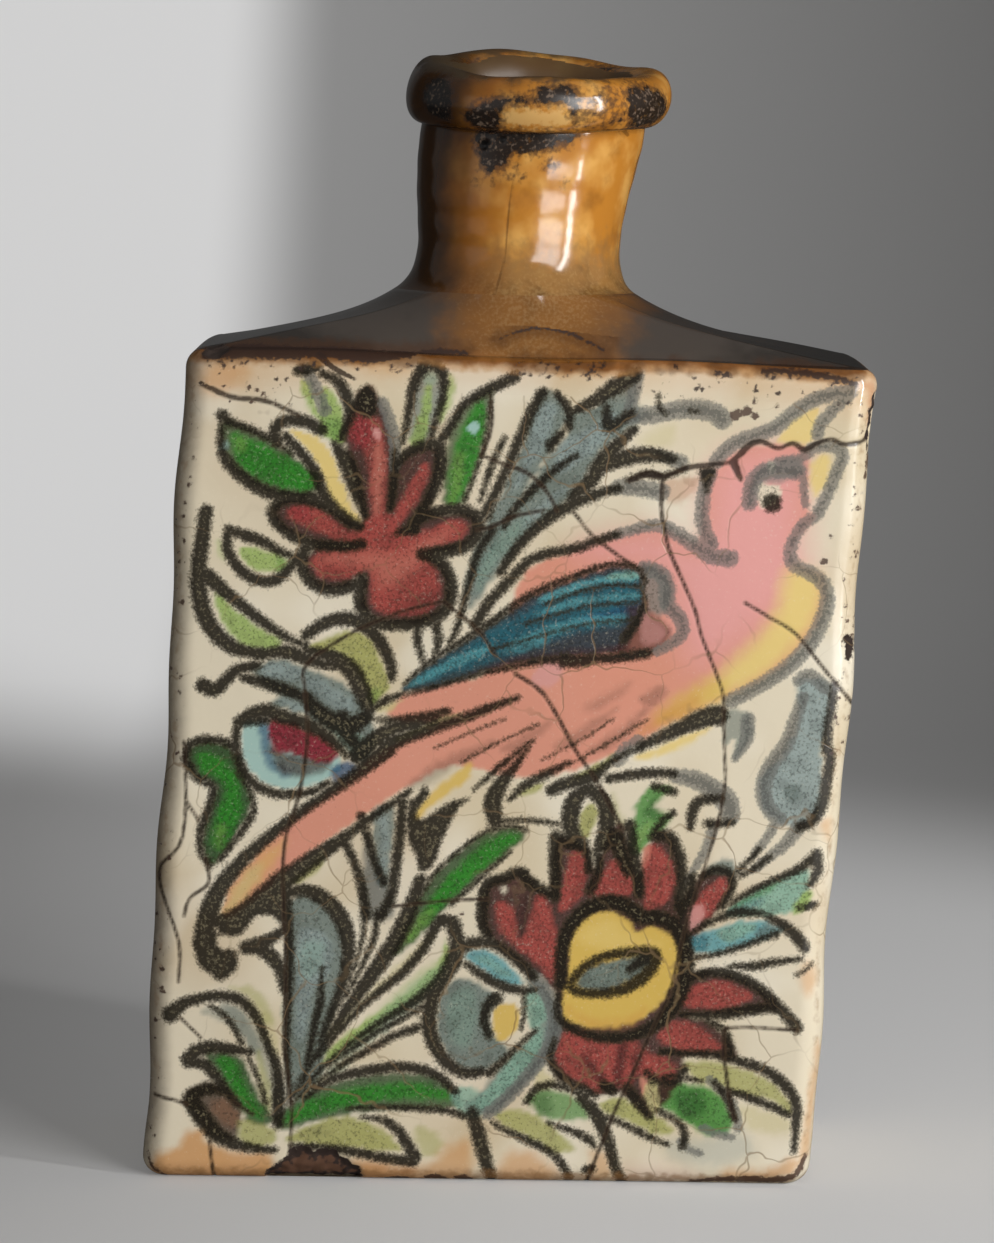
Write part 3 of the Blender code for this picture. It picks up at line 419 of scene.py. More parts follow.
bird = {"washes": [
    ("salmon", 0.95, 0.5, [(50, 88), (52, 92.6), (55, 94.8), (59, 96), (65, 98.3), (71.5, 99.8), (77, 97.6),
        (77, 104.5), (78.6, 109), (82, 112), (87, 112.8), (91.6, 112), (92.2, 104), (93.6, 102), (91, 98.6),
        (91, 95.3), (95.6, 93.4), (96, 88.5), (93.6, 83.6), (88.6, 78.4), (83, 75), (76, 71.4), (68, 66.4),
        (60, 63), (52, 62), (43, 63.3), (36.5, 60.2), (27, 53), (17.3, 44.6), (12.3, 40.3), (10.4, 40.6),
        (12, 45.6), (19.8, 54.6), (27.3, 61), (33, 66), (40, 69.4), (33, 70.4), (35, 74), (42, 76),
        (47, 78)]),
    ("pink", 0.95, 5, [(60, 96), (70, 99), (77, 98), (78, 108), (84, 112), (91, 111), (92, 100), (93, 92),
        (86, 84), (78, 80), (74, 86), (72, 93)]),
    ("yellow", 0.95, 2, [(90.6, 94), (95.3, 93.2), (95.6, 88.6), (93.2, 84), (88, 78.4), (82.5, 75),
        (79, 74), (80, 77), (83, 80.5), (87, 84.5), (89.4, 89)]),
    ("gold", 0.75, 1.6, [(72.4, 71.6), (75, 74.6), (79, 77.2), (81.6, 77), (81.8, 74.6), (79, 72.8),
        (75.5, 71), (73, 70.4)]),
    ("tan", 0.55, 1.6, [(72, 71.6), (76, 74), (78, 74), (75, 71), (70, 68.6)]),
    ("gold", 0.5, 1.4, [(10.4, 40.6), (12, 45), (15.6, 49.4), (19, 51.6), (17.6, 47.4), (12.6, 41)]),
    ("straw", 0.5, 1, [(10.6, 41), (12.6, 45), (15, 48), (16, 46.6), (12.8, 42)]),
    ("umber", 0.4, 0.8, [(36, 60.2), (40, 63.6), (45, 66), (49, 67.3), (46, 65), (42, 62.4), (38.5, 60.2)]),
    ("umber", 0.35, 0.8, [(50, 66.3), (54, 69), (57.4, 71), (55.6, 68.4), (52.4, 65.6)], [(57.6, 66.6),
        (62, 70), (66.4, 72.8), (64, 69.6), (60.4, 66.6)]),
    ("umber", 0.4, 0.8, [(62.6, 66), (67, 69.5), (71, 72.9), (69, 69.4), (66, 66.6)]),
    ("umber", 0.4, 0.6, [(69.6, 74.4), (72.6, 76.4), (73.2, 74.5), (71, 73)]),
    ("umber", 0.3, 1, [(62, 73), (68, 76.6), (66, 74), (63, 72)]),
    ("yellow", 0.9, 0.6, [(69.4, 65.2), (73, 67), (77, 68.8), (80.4, 70.2), (78, 67.8), (73, 65.6)]),
    ("gold", 0.9, 0.5, [(37.6, 56.4), (39.5, 59), (42, 61.2), (45, 63.6), (45.4, 62), (43, 59.6),
        (40.5, 57.6), (38.2, 55.2)]),
    ("olive", 0.85, 0.4, [(52.6, 59.2), (54.8, 60.8), (56.4, 61), (55, 59.6)], [(61, 62), (64, 64.2),
        (67, 65.9), (64.8, 63.2)]),
    ("olive", 0.8, 0.5, [(20.4, 45.6), (22.5, 47.4), (25.2, 50), (24.6, 47.4), (22.4, 45.4)]),
    ("yellow", 0.85, 0.5, [(87.4, 113.3), (88.5, 115.5), (90.5, 117.7), (92.7, 118.4), (92.5, 115.5),
        (91.8, 113.2)], [(92.6, 110.4), (94.8, 111.6), (95.3, 109.5), (94.4, 106.4), (93.2, 105),
        (92.5, 107)]),
    ("slate", 0.65, 0.6, [(84, 104), (84.2, 108), (86, 110.2), (90.8, 111), (91.2, 108.6), (87.6, 107.2),
        (85, 106.6)]),
    ("ivory", 0.95, 0.3, [(86, 110.2), (87.2, 110), (87, 109), (86.2, 109)], [(85, 106.7), (87.8, 106.4),
        (88.3, 105.2), (86, 103.4), (85, 104.2)]),
    ("deepTeal", 0.95, 0.4, [(34.8, 74.6), (37, 77.5), (40, 80), (44, 82.8), (48, 85.6), (52, 88.6),
        (55, 90.2), (59, 92), (63, 93.5), (66, 94), (68.5, 93.4), (69.6, 91.8), (69.6, 88), (68, 84),
        (66, 81.4), (60, 80.4), (52, 79.2), (46, 77.4), (38, 74.6)]),
    ("teal", 0.85, 0.9, [(35.6, 75.4), (41, 79.6), (48, 84.4), (55, 88.6), (62, 91.8), (68, 92.4),
        (68.4, 86), (60, 84), (52, 81), (44, 78)]),
    ("aqua", 0.85, 0.4, [(54, 88.6), (58, 90.8), (63, 92.3), (67, 93.2), (69.2, 92.6), (68, 91.8),
        (63, 91.2), (58, 89.4)]),
    ("celadon", 0.7, 0.4, [(63.6, 92.2), (67, 93.2), (69.2, 92.6), (67, 92)]),
    ("aqua", 0.7, 0.35, [(53, 86.2), (58, 88.6), (63, 89.5), (69, 90), (69.2, 89.3), (63, 88.6),
        (58, 87.4)]),
    ("blue", 0.6, 0.5, [(60, 85.8), (65, 87.6), (69, 88.6), (69, 86.6), (64, 86)]),
    ("aqua", 0.6, 0.4, [(50, 82.2), (54, 84.2), (60, 86), (67, 86.8), (66, 85.6), (60, 84.8), (55, 83)]),
    ("aqua", 0.7, 0.4, [(35.6, 75.4), (39, 78), (43, 80.2), (47, 81.6), (46, 80), (41, 77.6), (37, 75.4)]),
    ("aqua", 0.5, 0.4, [(48.6, 80.8), (52, 82.4), (55.4, 83), (55, 82), (51, 80.8)]),
    ("maroon", 0.55, 0.6, [(44, 77), (50, 79.6), (56, 81), (62, 81.6), (67, 82), (67, 80.2), (60, 79.8),
        (52, 78.8)]),
    ("maroon", 0.75, 0.6, [(67, 88), (69.5, 88.2), (71.6, 86.6), (73.6, 84), (72, 81.8), (69.5, 80.6),
        (65.6, 80.2), (66.2, 83), (67.2, 85.5)]),
    ("rose", 0.45, 0.7, [(69.4, 87), (71.4, 86), (72.8, 84), (71, 82.4), (69.2, 83)]),
    ("slate", 0.75, 0.6, [(69.4, 94), (72, 93.6), (73.6, 91), (73.4, 88), (71.6, 86.8), (69.8, 88.6)]),
    ("rose", 0.85, 0.5, [(53.4, 77), (55, 79.2), (57.6, 79.4), (57.8, 77.4), (56.2, 75.6), (54.4, 75.8)]),
    ("straw", 0.8, 0.3, [(34, 67.5), (38, 69.3), (42.6, 71.2), (43.4, 71.1), (39, 68.9), (35, 67)]),
    ("straw", 0.7, 0.3, [(30.6, 71.8), (33, 72.8), (35, 73), (33, 71.4)]),
], "ink": [
    ((2, 1.9, 1.8, 1.8, 1.6), [(44.6, 84.6), (46.6, 88), (48.6, 90.2), (50.6, 92.4), (53, 94.7), (56, 95.8),
        (59, 96.4), (62, 97.6), (65, 98.7)]),
    ((0.9, 1.5, 1.3, 1.2), [(35, 75.6), (38, 78.6), (41, 81), (44, 83), (48, 85.9), (52, 88.9), (55, 90.5),
        (59, 92.2), (63, 93.8), (66, 94.3), (68.7, 93.6), (69.7, 91.8)]),
    ((0.9, 1, 1.6, 1.9), [(35.2, 73.9), (38, 74.7), (42, 76), (46, 77.3), (50, 78.4), (54, 79.4), (58, 79.8),
        (62, 80), (66, 80.3), (70, 81)]),
    ((2.6, 2), [(58, 79.6), (61.4, 79.6)]),
    (0.8, [(55, 88), (60, 90), (65, 91.2), (69.4, 91)]),
    (0.7, [(52, 85), (58, 87), (63, 88.2), (69, 88.6)], [(47, 81), (54, 83.2), (61, 85.2), (67.6, 86)]),
    ((0.8, 1.4, 1.6), [(69.4, 91), (69.6, 88.4), (68.4, 85.6), (66.6, 83)]),
    ((1.2, 1.6, 1), [(30, 71.2), (32.5, 73), (35, 74)]),
    ((1.2, 2, 1.6), [(31.4, 70), (35, 70.1), (38, 70.6), (41.6, 71.5)]),
    ((3.2, 2.8, 2.2, 1.4), [(28.6, 64.8), (31, 67), (34, 68.9), (37, 69.5), (40, 70.3)]),
    ((2.6, 2.2, 2, 1.8, 1.2), [(33, 66.4), (36, 67.6), (40, 69.1), (44, 70.6), (48, 72.4), (51.8, 73.9)]),
    ((3, 2.3, 2, 2.2, 2.6, 3.2, 3.2), [(33, 65.8), (30, 63.2), (27.3, 60.9), (24, 58.4), (21, 56),
        (18, 53.3), (15.3, 50.7), (12.5, 47.7), (10.4, 45), (8.8, 42), (7.9, 39), (7.5, 36)]),
    ((3.2, 3.6, 4), [(7.6, 36), (8.6, 33.6), (10.5, 32.6)]),
    ((3.4, 2.6), [(10.5, 32.4), (11.4, 34)]),
    ((2.4, 3.2, 3.6, 3, 1.8, 1.3), [(9.6, 39.2), (12.6, 40.2), (15, 41.8), (18, 44.2), (21, 46.8),
        (24.5, 49.6), (28, 52.4), (32, 55.8), (36.5, 59.4)]),
    ((0.8, 1.4, 0.7), [(46, 59.8), (48.6, 62.3), (51, 64.6), (54.6, 67.6)]),
    ((2.6, 3, 2.6, 1.6, 0.8), [(49.7, 55.2), (49, 58), (50, 60.8), (52, 63.6), (54, 66.6)]),
    ((1.2, 1), [(49.4, 54.9), (53, 55.4), (57, 55.2), (60.4, 54.8)]),
    ((1.2, 1.7, 1.9, 1), [(51.5, 58.5), (53.5, 60.6), (56.5, 62.4), (60, 64.3)]),
    ((2.2, 2.3, 2.4, 1.4, 0.9), [(57.6, 60), (60, 61.2), (63.5, 62.2), (66, 64.4), (69, 66.3)]),
    (0.6, [(44, 64), (50, 67.4), (55, 70)], [(60, 64), (66, 67.6), (71, 71)]),
    (0.5, [(56, 64.6), (62, 68), (66, 71)], [(40, 66), (45, 68.4), (50, 70.6)]),
    ((3.4, 3.4, 2.6, 2, 1.5), [(81.4, 71.9), (80, 71.7), (77.4, 70.6), (74.4, 69), (71.4, 67.5),
        (70, 66.5)]),
    (3, [(87, 104.2), (87.2, 104)]),
], "inkShapes": [
    [(36.4, 57.8), (37, 52.5), (38.7, 49.5), (39.4, 47.3), (41, 47.6), (42, 49.4), (42.4, 52), (44, 56.6),
        (45.6, 58.6), (43, 58.2), (40.6, 56.6), (38.8, 55.4), (38.2, 56.6), (39.6, 59), (38.6, 60.4),
        (37.4, 58.6)],
], "grey": [
    ((1.6, 2, 2.2, 2.4, 2.6), [(65, 98.7), (68, 99.7), (71, 100.2), (74, 99), (77, 97.2), (79, 95.9),
        (82, 95.6)]),
    (2.2, [(77.6, 108), (77, 105.5), (77, 102.5), (77.6, 100), (79, 97.6)]),
    (2.3, [(78.4, 110), (80, 112), (82, 113.3), (84.5, 114.3), (87, 115.5), (89, 117.5), (91.5, 119.5),
        (94, 120.7), (97, 121.3)]),
    (2, [(97, 121), (95, 118.5), (93.5, 116.5), (93, 114.6)], [(91.5, 111.5), (93, 112.7), (95.5, 112.8),
        (97, 111.5), (96.2, 109), (95.2, 106), (94, 103)]),
    (1.3, [(91.4, 108), (91.6, 105.8), (92, 104)]),
    (2.5, [(83.8, 104), (84, 107), (85.5, 108.8), (88, 109), (90.6, 108.8)]),
    (1.8, [(87.6, 110.2), (90.4, 110.6)]),
    ((1.8, 2.2, 2.5, 2.4), [(94, 102.5), (92, 101), (90.8, 98.6), (90.6, 96.3), (91.5, 94.8), (94, 93.6),
        (96, 92), (96.6, 89.5), (95.8, 86.5), (94.4, 83.6), (92, 80.6), (89, 78), (86, 76), (83, 74.2)]),
    ((2.4, 2.6, 2.2, 1.5), [(69.5, 93.8), (72, 93), (73, 91), (73, 88.5), (74.8, 86.5), (75.3, 84.5),
        (74, 82.8), (71.5, 81.3)]),
    (2.4, [(70, 67.6), (68.4, 66.4), (67.2, 65)]),
]}
rightSprig = {"washes": [
    ("slate", 0.7, 0.4, [(82.4, 72.6), (85.8, 72.4), (86.7, 70.4), (86.2, 67.8), (84.6, 65.4), (84.2, 68.2),
        (82.8, 67.6)]),
    ("paleSlate", 0.95, 0.5, [(92.4, 77.4), (93.2, 72), (92.4, 68.5), (91.6, 66), (89.6, 64.3), (88.6, 62),
        (88.7, 59.5), (89.8, 57.2), (91.5, 56), (94.5, 55.4), (97.2, 56.8), (97.8, 60), (97.6, 64),
        (97.2, 67), (97.6, 70), (97.6, 76.4), (95, 78)]),
    ("slate", 0.6, 0.5, [(92.4, 61.4), (94, 61.8), (94.8, 60.4), (93.8, 59.2), (92.4, 59.6)]),
    ("green", 0.85, 0.5, [(70, 51.4), (70.1, 57), (71.3, 60), (73.6, 61), (75.6, 60.8), (74.2, 59.2),
        (73, 58), (73.8, 57.3), (75.8, 56.8), (75, 55), (73, 52.4), (71.5, 50.6)]),
    ("lime", 0.35, 0.6, [(70.6, 52), (71.6, 55), (72.8, 55.6), (71.8, 52)]),
    ("deepGreen", 0.5, 0.6, [(71.4, 57), (73, 59.6), (74.4, 60.2), (73, 58.2), (74.6, 56.6), (73, 56)]),
    ("olive", 0.9, 0.4, [(63.5, 58.4), (64.7, 57.4), (64.5, 55.4), (63.5, 52.8), (62.3, 54), (62, 56.4)]),
    ("olive", 0.45, 0.6, [(66.6, 60), (67.6, 58), (69, 55.4), (68, 54.6), (66.8, 57)]),
], "ink": [
    ((1.6, 1.9, 1.6), [(66, 62), (69, 62.6), (72, 63), (75.6, 63)]),
    ((1.5, 2, 2, 1.6), [(78.6, 55), (78.8, 57.5), (80, 59), (82.8, 59.4)]),
    ((1.8, 1.4), [(81.2, 55.5), (84.7, 55.7)]),
    ((2.4, 3.1, 2.8, 2.4), [(62.4, 60.2), (61, 58.4), (60.7, 55.7), (61.6, 53), (63, 51.8)]),
    ((2.4, 2.8, 2.8), [(63.4, 60.3), (65.5, 58.4), (66.2, 55.4), (66, 52)]),
    ((1.7, 1.5), [(73, 61), (75.8, 60.2)]),
    (1.4, [(75.8, 57), (74.4, 55.8), (73, 53.4)]),
    ((1.6, 1.8, 2.1, 2), [(97.9, 77), (97.8, 74), (97.6, 71), (97.9, 67.6), (98.6, 66), (98.4, 62),
        (98, 58.6), (96.6, 56.2), (95, 55.4)]),
    ((1.2, 1.3), [(89.2, 51.8), (88, 50.2), (86.5, 48.4)]),
    ((1.3, 1.3), [(90.8, 50.6), (89, 49), (87, 47.8)]),
], "grey": [
    ((2.4, 3, 3.6, 3), [(76, 62.7), (79, 62.1), (82, 60.5), (84, 58.6), (84.5, 56.8)]),
    ((1.8, 1.6, 1), [(82, 54.8), (81.4, 52), (80.2, 49), (78.8, 46)]),
    (2, [(92.6, 77.6), (94, 78.4), (95.4, 77.6), (96.6, 76.4)]),
    ((1.9, 2.5, 2.6, 2.2), [(93.4, 75), (92.6, 71), (91.8, 67.6), (90, 64.6), (89.2, 62), (89.4, 59.4),
        (90.6, 57.4), (92, 56.3)]),
    ((2.2, 2.2, 1.3), [(85.8, 71.4), (86, 69), (85.6, 67.4), (84.6, 65.5)]),
    ((1.7, 1.3), [(91.4, 56), (89.8, 53), (88.4, 51)]),
    ((2.3, 1.9, 1.4), [(94.7, 55.3), (93, 52.7), (91, 50.8), (89, 49)]),
]}
iris = {"washes": [
    ("slate", 0.92, 0.5, [(20.2, 42), (24, 43), (28.2, 38.5), (28.8, 32), (28, 27), (27.2, 22.6),
        (26.4, 16.5), (24, 12), (21, 14), (20.4, 22), (20, 30)]),
    ("slate", 0.5, 0.6, [(8, 25.5), (13, 26.5), (17, 23), (20, 16), (21, 11), (19, 11), (16.6, 18),
        (13, 23)]),
    ("straw", 0.5, 0.6, [(14.4, 27.4), (17.6, 26), (20, 20), (18.6, 20)]),
    ("paleSlate", 0.75, 0.6, [(21.8, 37.8), (25.4, 37.8), (26.8, 35.4), (26.2, 31), (24.4, 29), (23.6, 22),
        (22.4, 22), (22, 30)]),
    ("celadon", 0.3, 0.8, [(22.4, 36), (25.6, 36), (25, 32), (22.6, 31)]),
    ("slate", 0.85, 0.5, [(31.4, 56.8), (34.6, 56.6), (35.2, 50), (35, 45), (33.4, 46), (32.4, 51)]),
    ("paleSlate", 0.6, 0.5, [(32.4, 56), (34, 55), (34.6, 48), (33.8, 47), (33.2, 52)]),
    ("deepTeal", 0.7, 0.7, [(31, 53), (33, 48), (35.6, 44), (35.8, 40.4), (31.4, 40), (31.2, 46)]),
    ("olive", 0.55, 0.6, [(12, 29.3), (15, 29.5), (17.5, 27.7), (19.2, 24.4), (18, 23.8), (16.5, 26.4),
        (14.5, 28.2)]),
    ("slate", 0.5, 0.6, [(10.8, 27), (13.5, 26.4), (15.5, 23.6), (17.3, 20.2), (16, 19.4), (13.8, 22.6),
        (11.8, 25)]),
    ("olive", 0.6, 0.6, [(16.5, 19.8), (17.6, 18), (18.5, 14), (18.9, 10.4), (17.5, 10.8), (16.7, 15)]),
], "ink": [
    ((2, 2.7, 3, 2.3, 1.9, 1.3), [(20.2, 43.7), (23, 44), (26, 42.6), (28.2, 39.8), (29.2, 36.5), (29.2, 33),
        (28.5, 29), (27.3, 25), (26, 21.4)]),
    ((1.9, 1.7, 1.5, 1.3, 1), [(20, 43.4), (20.2, 40), (20.5, 36), (20.8, 31), (21, 26), (21, 21),
        (21.2, 16), (21.4, 12)]),
    ((2.4, 2.8, 2.2, 1.8), [(14, 35.4), (15.6, 35.7), (17.4, 36.6), (19.4, 38)]),
    ((2.4, 2.6, 2.2, 1.5), [(16.2, 35.2), (18, 34), (19.4, 32), (20.2, 29)]),
    ((0.9, 1.7, 1.5, 1), [(25.5, 32.5), (25.7, 28), (25.1, 24), (24.3, 19), (23.4, 15)]),
    ((1.6, 1.9), [(27.8, 51.8), (29.2, 49.6), (30.6, 46.6), (31.4, 43.6), (32, 40.6)]),
    ((1.6, 1.6), [(29.8, 55.6), (31.6, 51.6), (33, 48.2), (34.4, 45.6)]),
    ((1.8, 2), [(35.6, 58), (35.9, 54), (36, 50), (35.9, 46), (35.4, 43), (34, 40.4)]),
    ((2.9, 2, 1.9, 2, 1.8, 1.6), [(3.4, 25), (5.4, 26.7), (8, 27.6), (11, 28), (13.4, 27.6), (15.5, 26),
        (17, 23.6), (18.2, 20.6)]),
    ((0.9, 1.4, 1.2), [(9.3, 26.5), (11.4, 25.2), (13, 23.2), (14.2, 20.8)]),
    ((1.6, 2, 2.4, 2), [(18, 20.8), (19.3, 17.6), (19.7, 14), (19.7, 10.6), (20, 8.6)]),
], "inkShapes": [
    [(6.7, 39), (6.9, 35.6), (8.2, 32.2), (9.8, 30.4), (11.2, 30.3), (12.8, 31.8), (13.2, 33.4), (12.5, 35),
        (11, 35), (9.9, 35.8), (9.6, 38)],
    [(10, 39.6), (12.4, 41.6), (15.4, 44.4), (18, 46.8), (20, 47.4), (20.2, 38.4), (19.2, 38), (18.8, 39),
        (17.6, 40.1), (16.4, 40.2), (15.2, 39.8), (14, 38), (12.8, 37), (11, 37), (9.6, 37.4)],
]}
longLeaf = {"washes": [
    ("deepGreen", 0.9, 0.5, [(54.4, 53.6), (51.4, 54.3), (47.4, 52.7), (44.2, 49.7), (41.2, 46.2),
        (39.4, 43), (37, 38), (35.6, 34.6), (38, 35.6), (41.8, 39.4), (44.8, 42.8), (48.8, 46.8),
        (52.8, 50.8)]),
    ("green", 0.92, 0.7, [(53.6, 53), (51, 53), (47.8, 51), (45, 48), (42.4, 44.6), (40.4, 41), (38.2, 37),
        (40.2, 38.6), (43.8, 42.6), (47.8, 46.8), (51.6, 50.6)]),
    ("lime", 0.4, 0.8, [(37.4, 36.4), (39, 39.6), (42, 41.8), (40, 38)]),
    ("lime", 0.92, 0.5, [(43.8, 37.2), (43.2, 34.4), (41, 31.5), (38, 28.5), (34, 25.6), (30, 22.6),
        (26.5, 18.8), (27.5, 18.4), (32, 21.8), (36.5, 25), (40.6, 28.4), (43.2, 31.4), (44.4, 34.6)]),
    ("celadon", 0.5, 0.6, [(27, 17), (33, 24), (39, 30), (43.4, 33.6), (44, 31), (39, 26), (33, 20.6),
        (28.6, 16.4)]),
    ("lime", 0.35, 0.6, [(30, 21), (35, 27), (41, 33), (43.6, 34), (43, 31.4), (37, 26), (32, 21.4)]),
    ("straw", 0.5, 0.5, [(42.4, 38.6), (40, 34.4), (36.6, 30.8), (32.4, 27.2), (28, 22.6), (27, 22.4),
        (31, 27), (35.4, 31.6), (39, 35.6)]),
    ("straw", 0.5, 0.6, [(22.4, 12.6), (26, 15.6), (30, 18.4), (29, 17.4), (25, 14)]),
    ("rust", 0.3, 0.6, [(28, 17.6), (32, 20), (36, 21.6), (33, 19.4)]),
], "ink": [
    (1, [(40, 43.8), (41.8, 47), (44.2, 49.8), (48, 53.2), (51.6, 54.5), (54.4, 54)]),
    ((1, 1.2, 0.8), [(44.6, 42.4), (48.6, 46.4), (52.6, 50.6)]),
    ((2.2, 3, 2.8, 2, 1.3, 0.9), [(39.8, 46), (38.4, 41.4), (36.4, 37), (33.8, 32.8), (31.2, 28.6),
        (28.7, 24.4), (26.2, 20.6), (23.4, 16), (22, 13)]),
    ((1.2, 1.1, 0.8), [(31.4, 41.4), (31.5, 38), (30.7, 34), (29.6, 30)]),
    ((1.4, 1.2, 0.9), [(33.6, 41), (33.2, 37.5), (31.8, 33.6), (30, 29.6), (27.6, 25)]),
    ((2.4, 1.9, 1.8, 1.6, 1.1), [(44.8, 39.4), (43.4, 40.1), (42.2, 38.8), (40.6, 35.8), (38, 32.4),
        (35, 29.6), (32, 26.8), (28.6, 22.8), (25.6, 18.8)]),
    ((2.6, 2.8, 2.2, 1.6, 1.2, 1), [(44.9, 39.6), (45.6, 36.5), (44.6, 33.2), (42.4, 30), (39, 27.1),
        (35, 24.4), (31, 21.4), (27, 18), (23.6, 14.4)]),
    ((1.6, 1.5, 1.2, 0.8), [(40.6, 23.6), (37, 22.3), (33.6, 20.3), (29.6, 18), (25.4, 15), (21.6, 12)]),
    ((1.3, 1.4, 0.8), [(41.6, 27), (38, 24.9), (34, 22.6), (30, 19.8), (26, 17), (22.4, 13.4)]),
]}
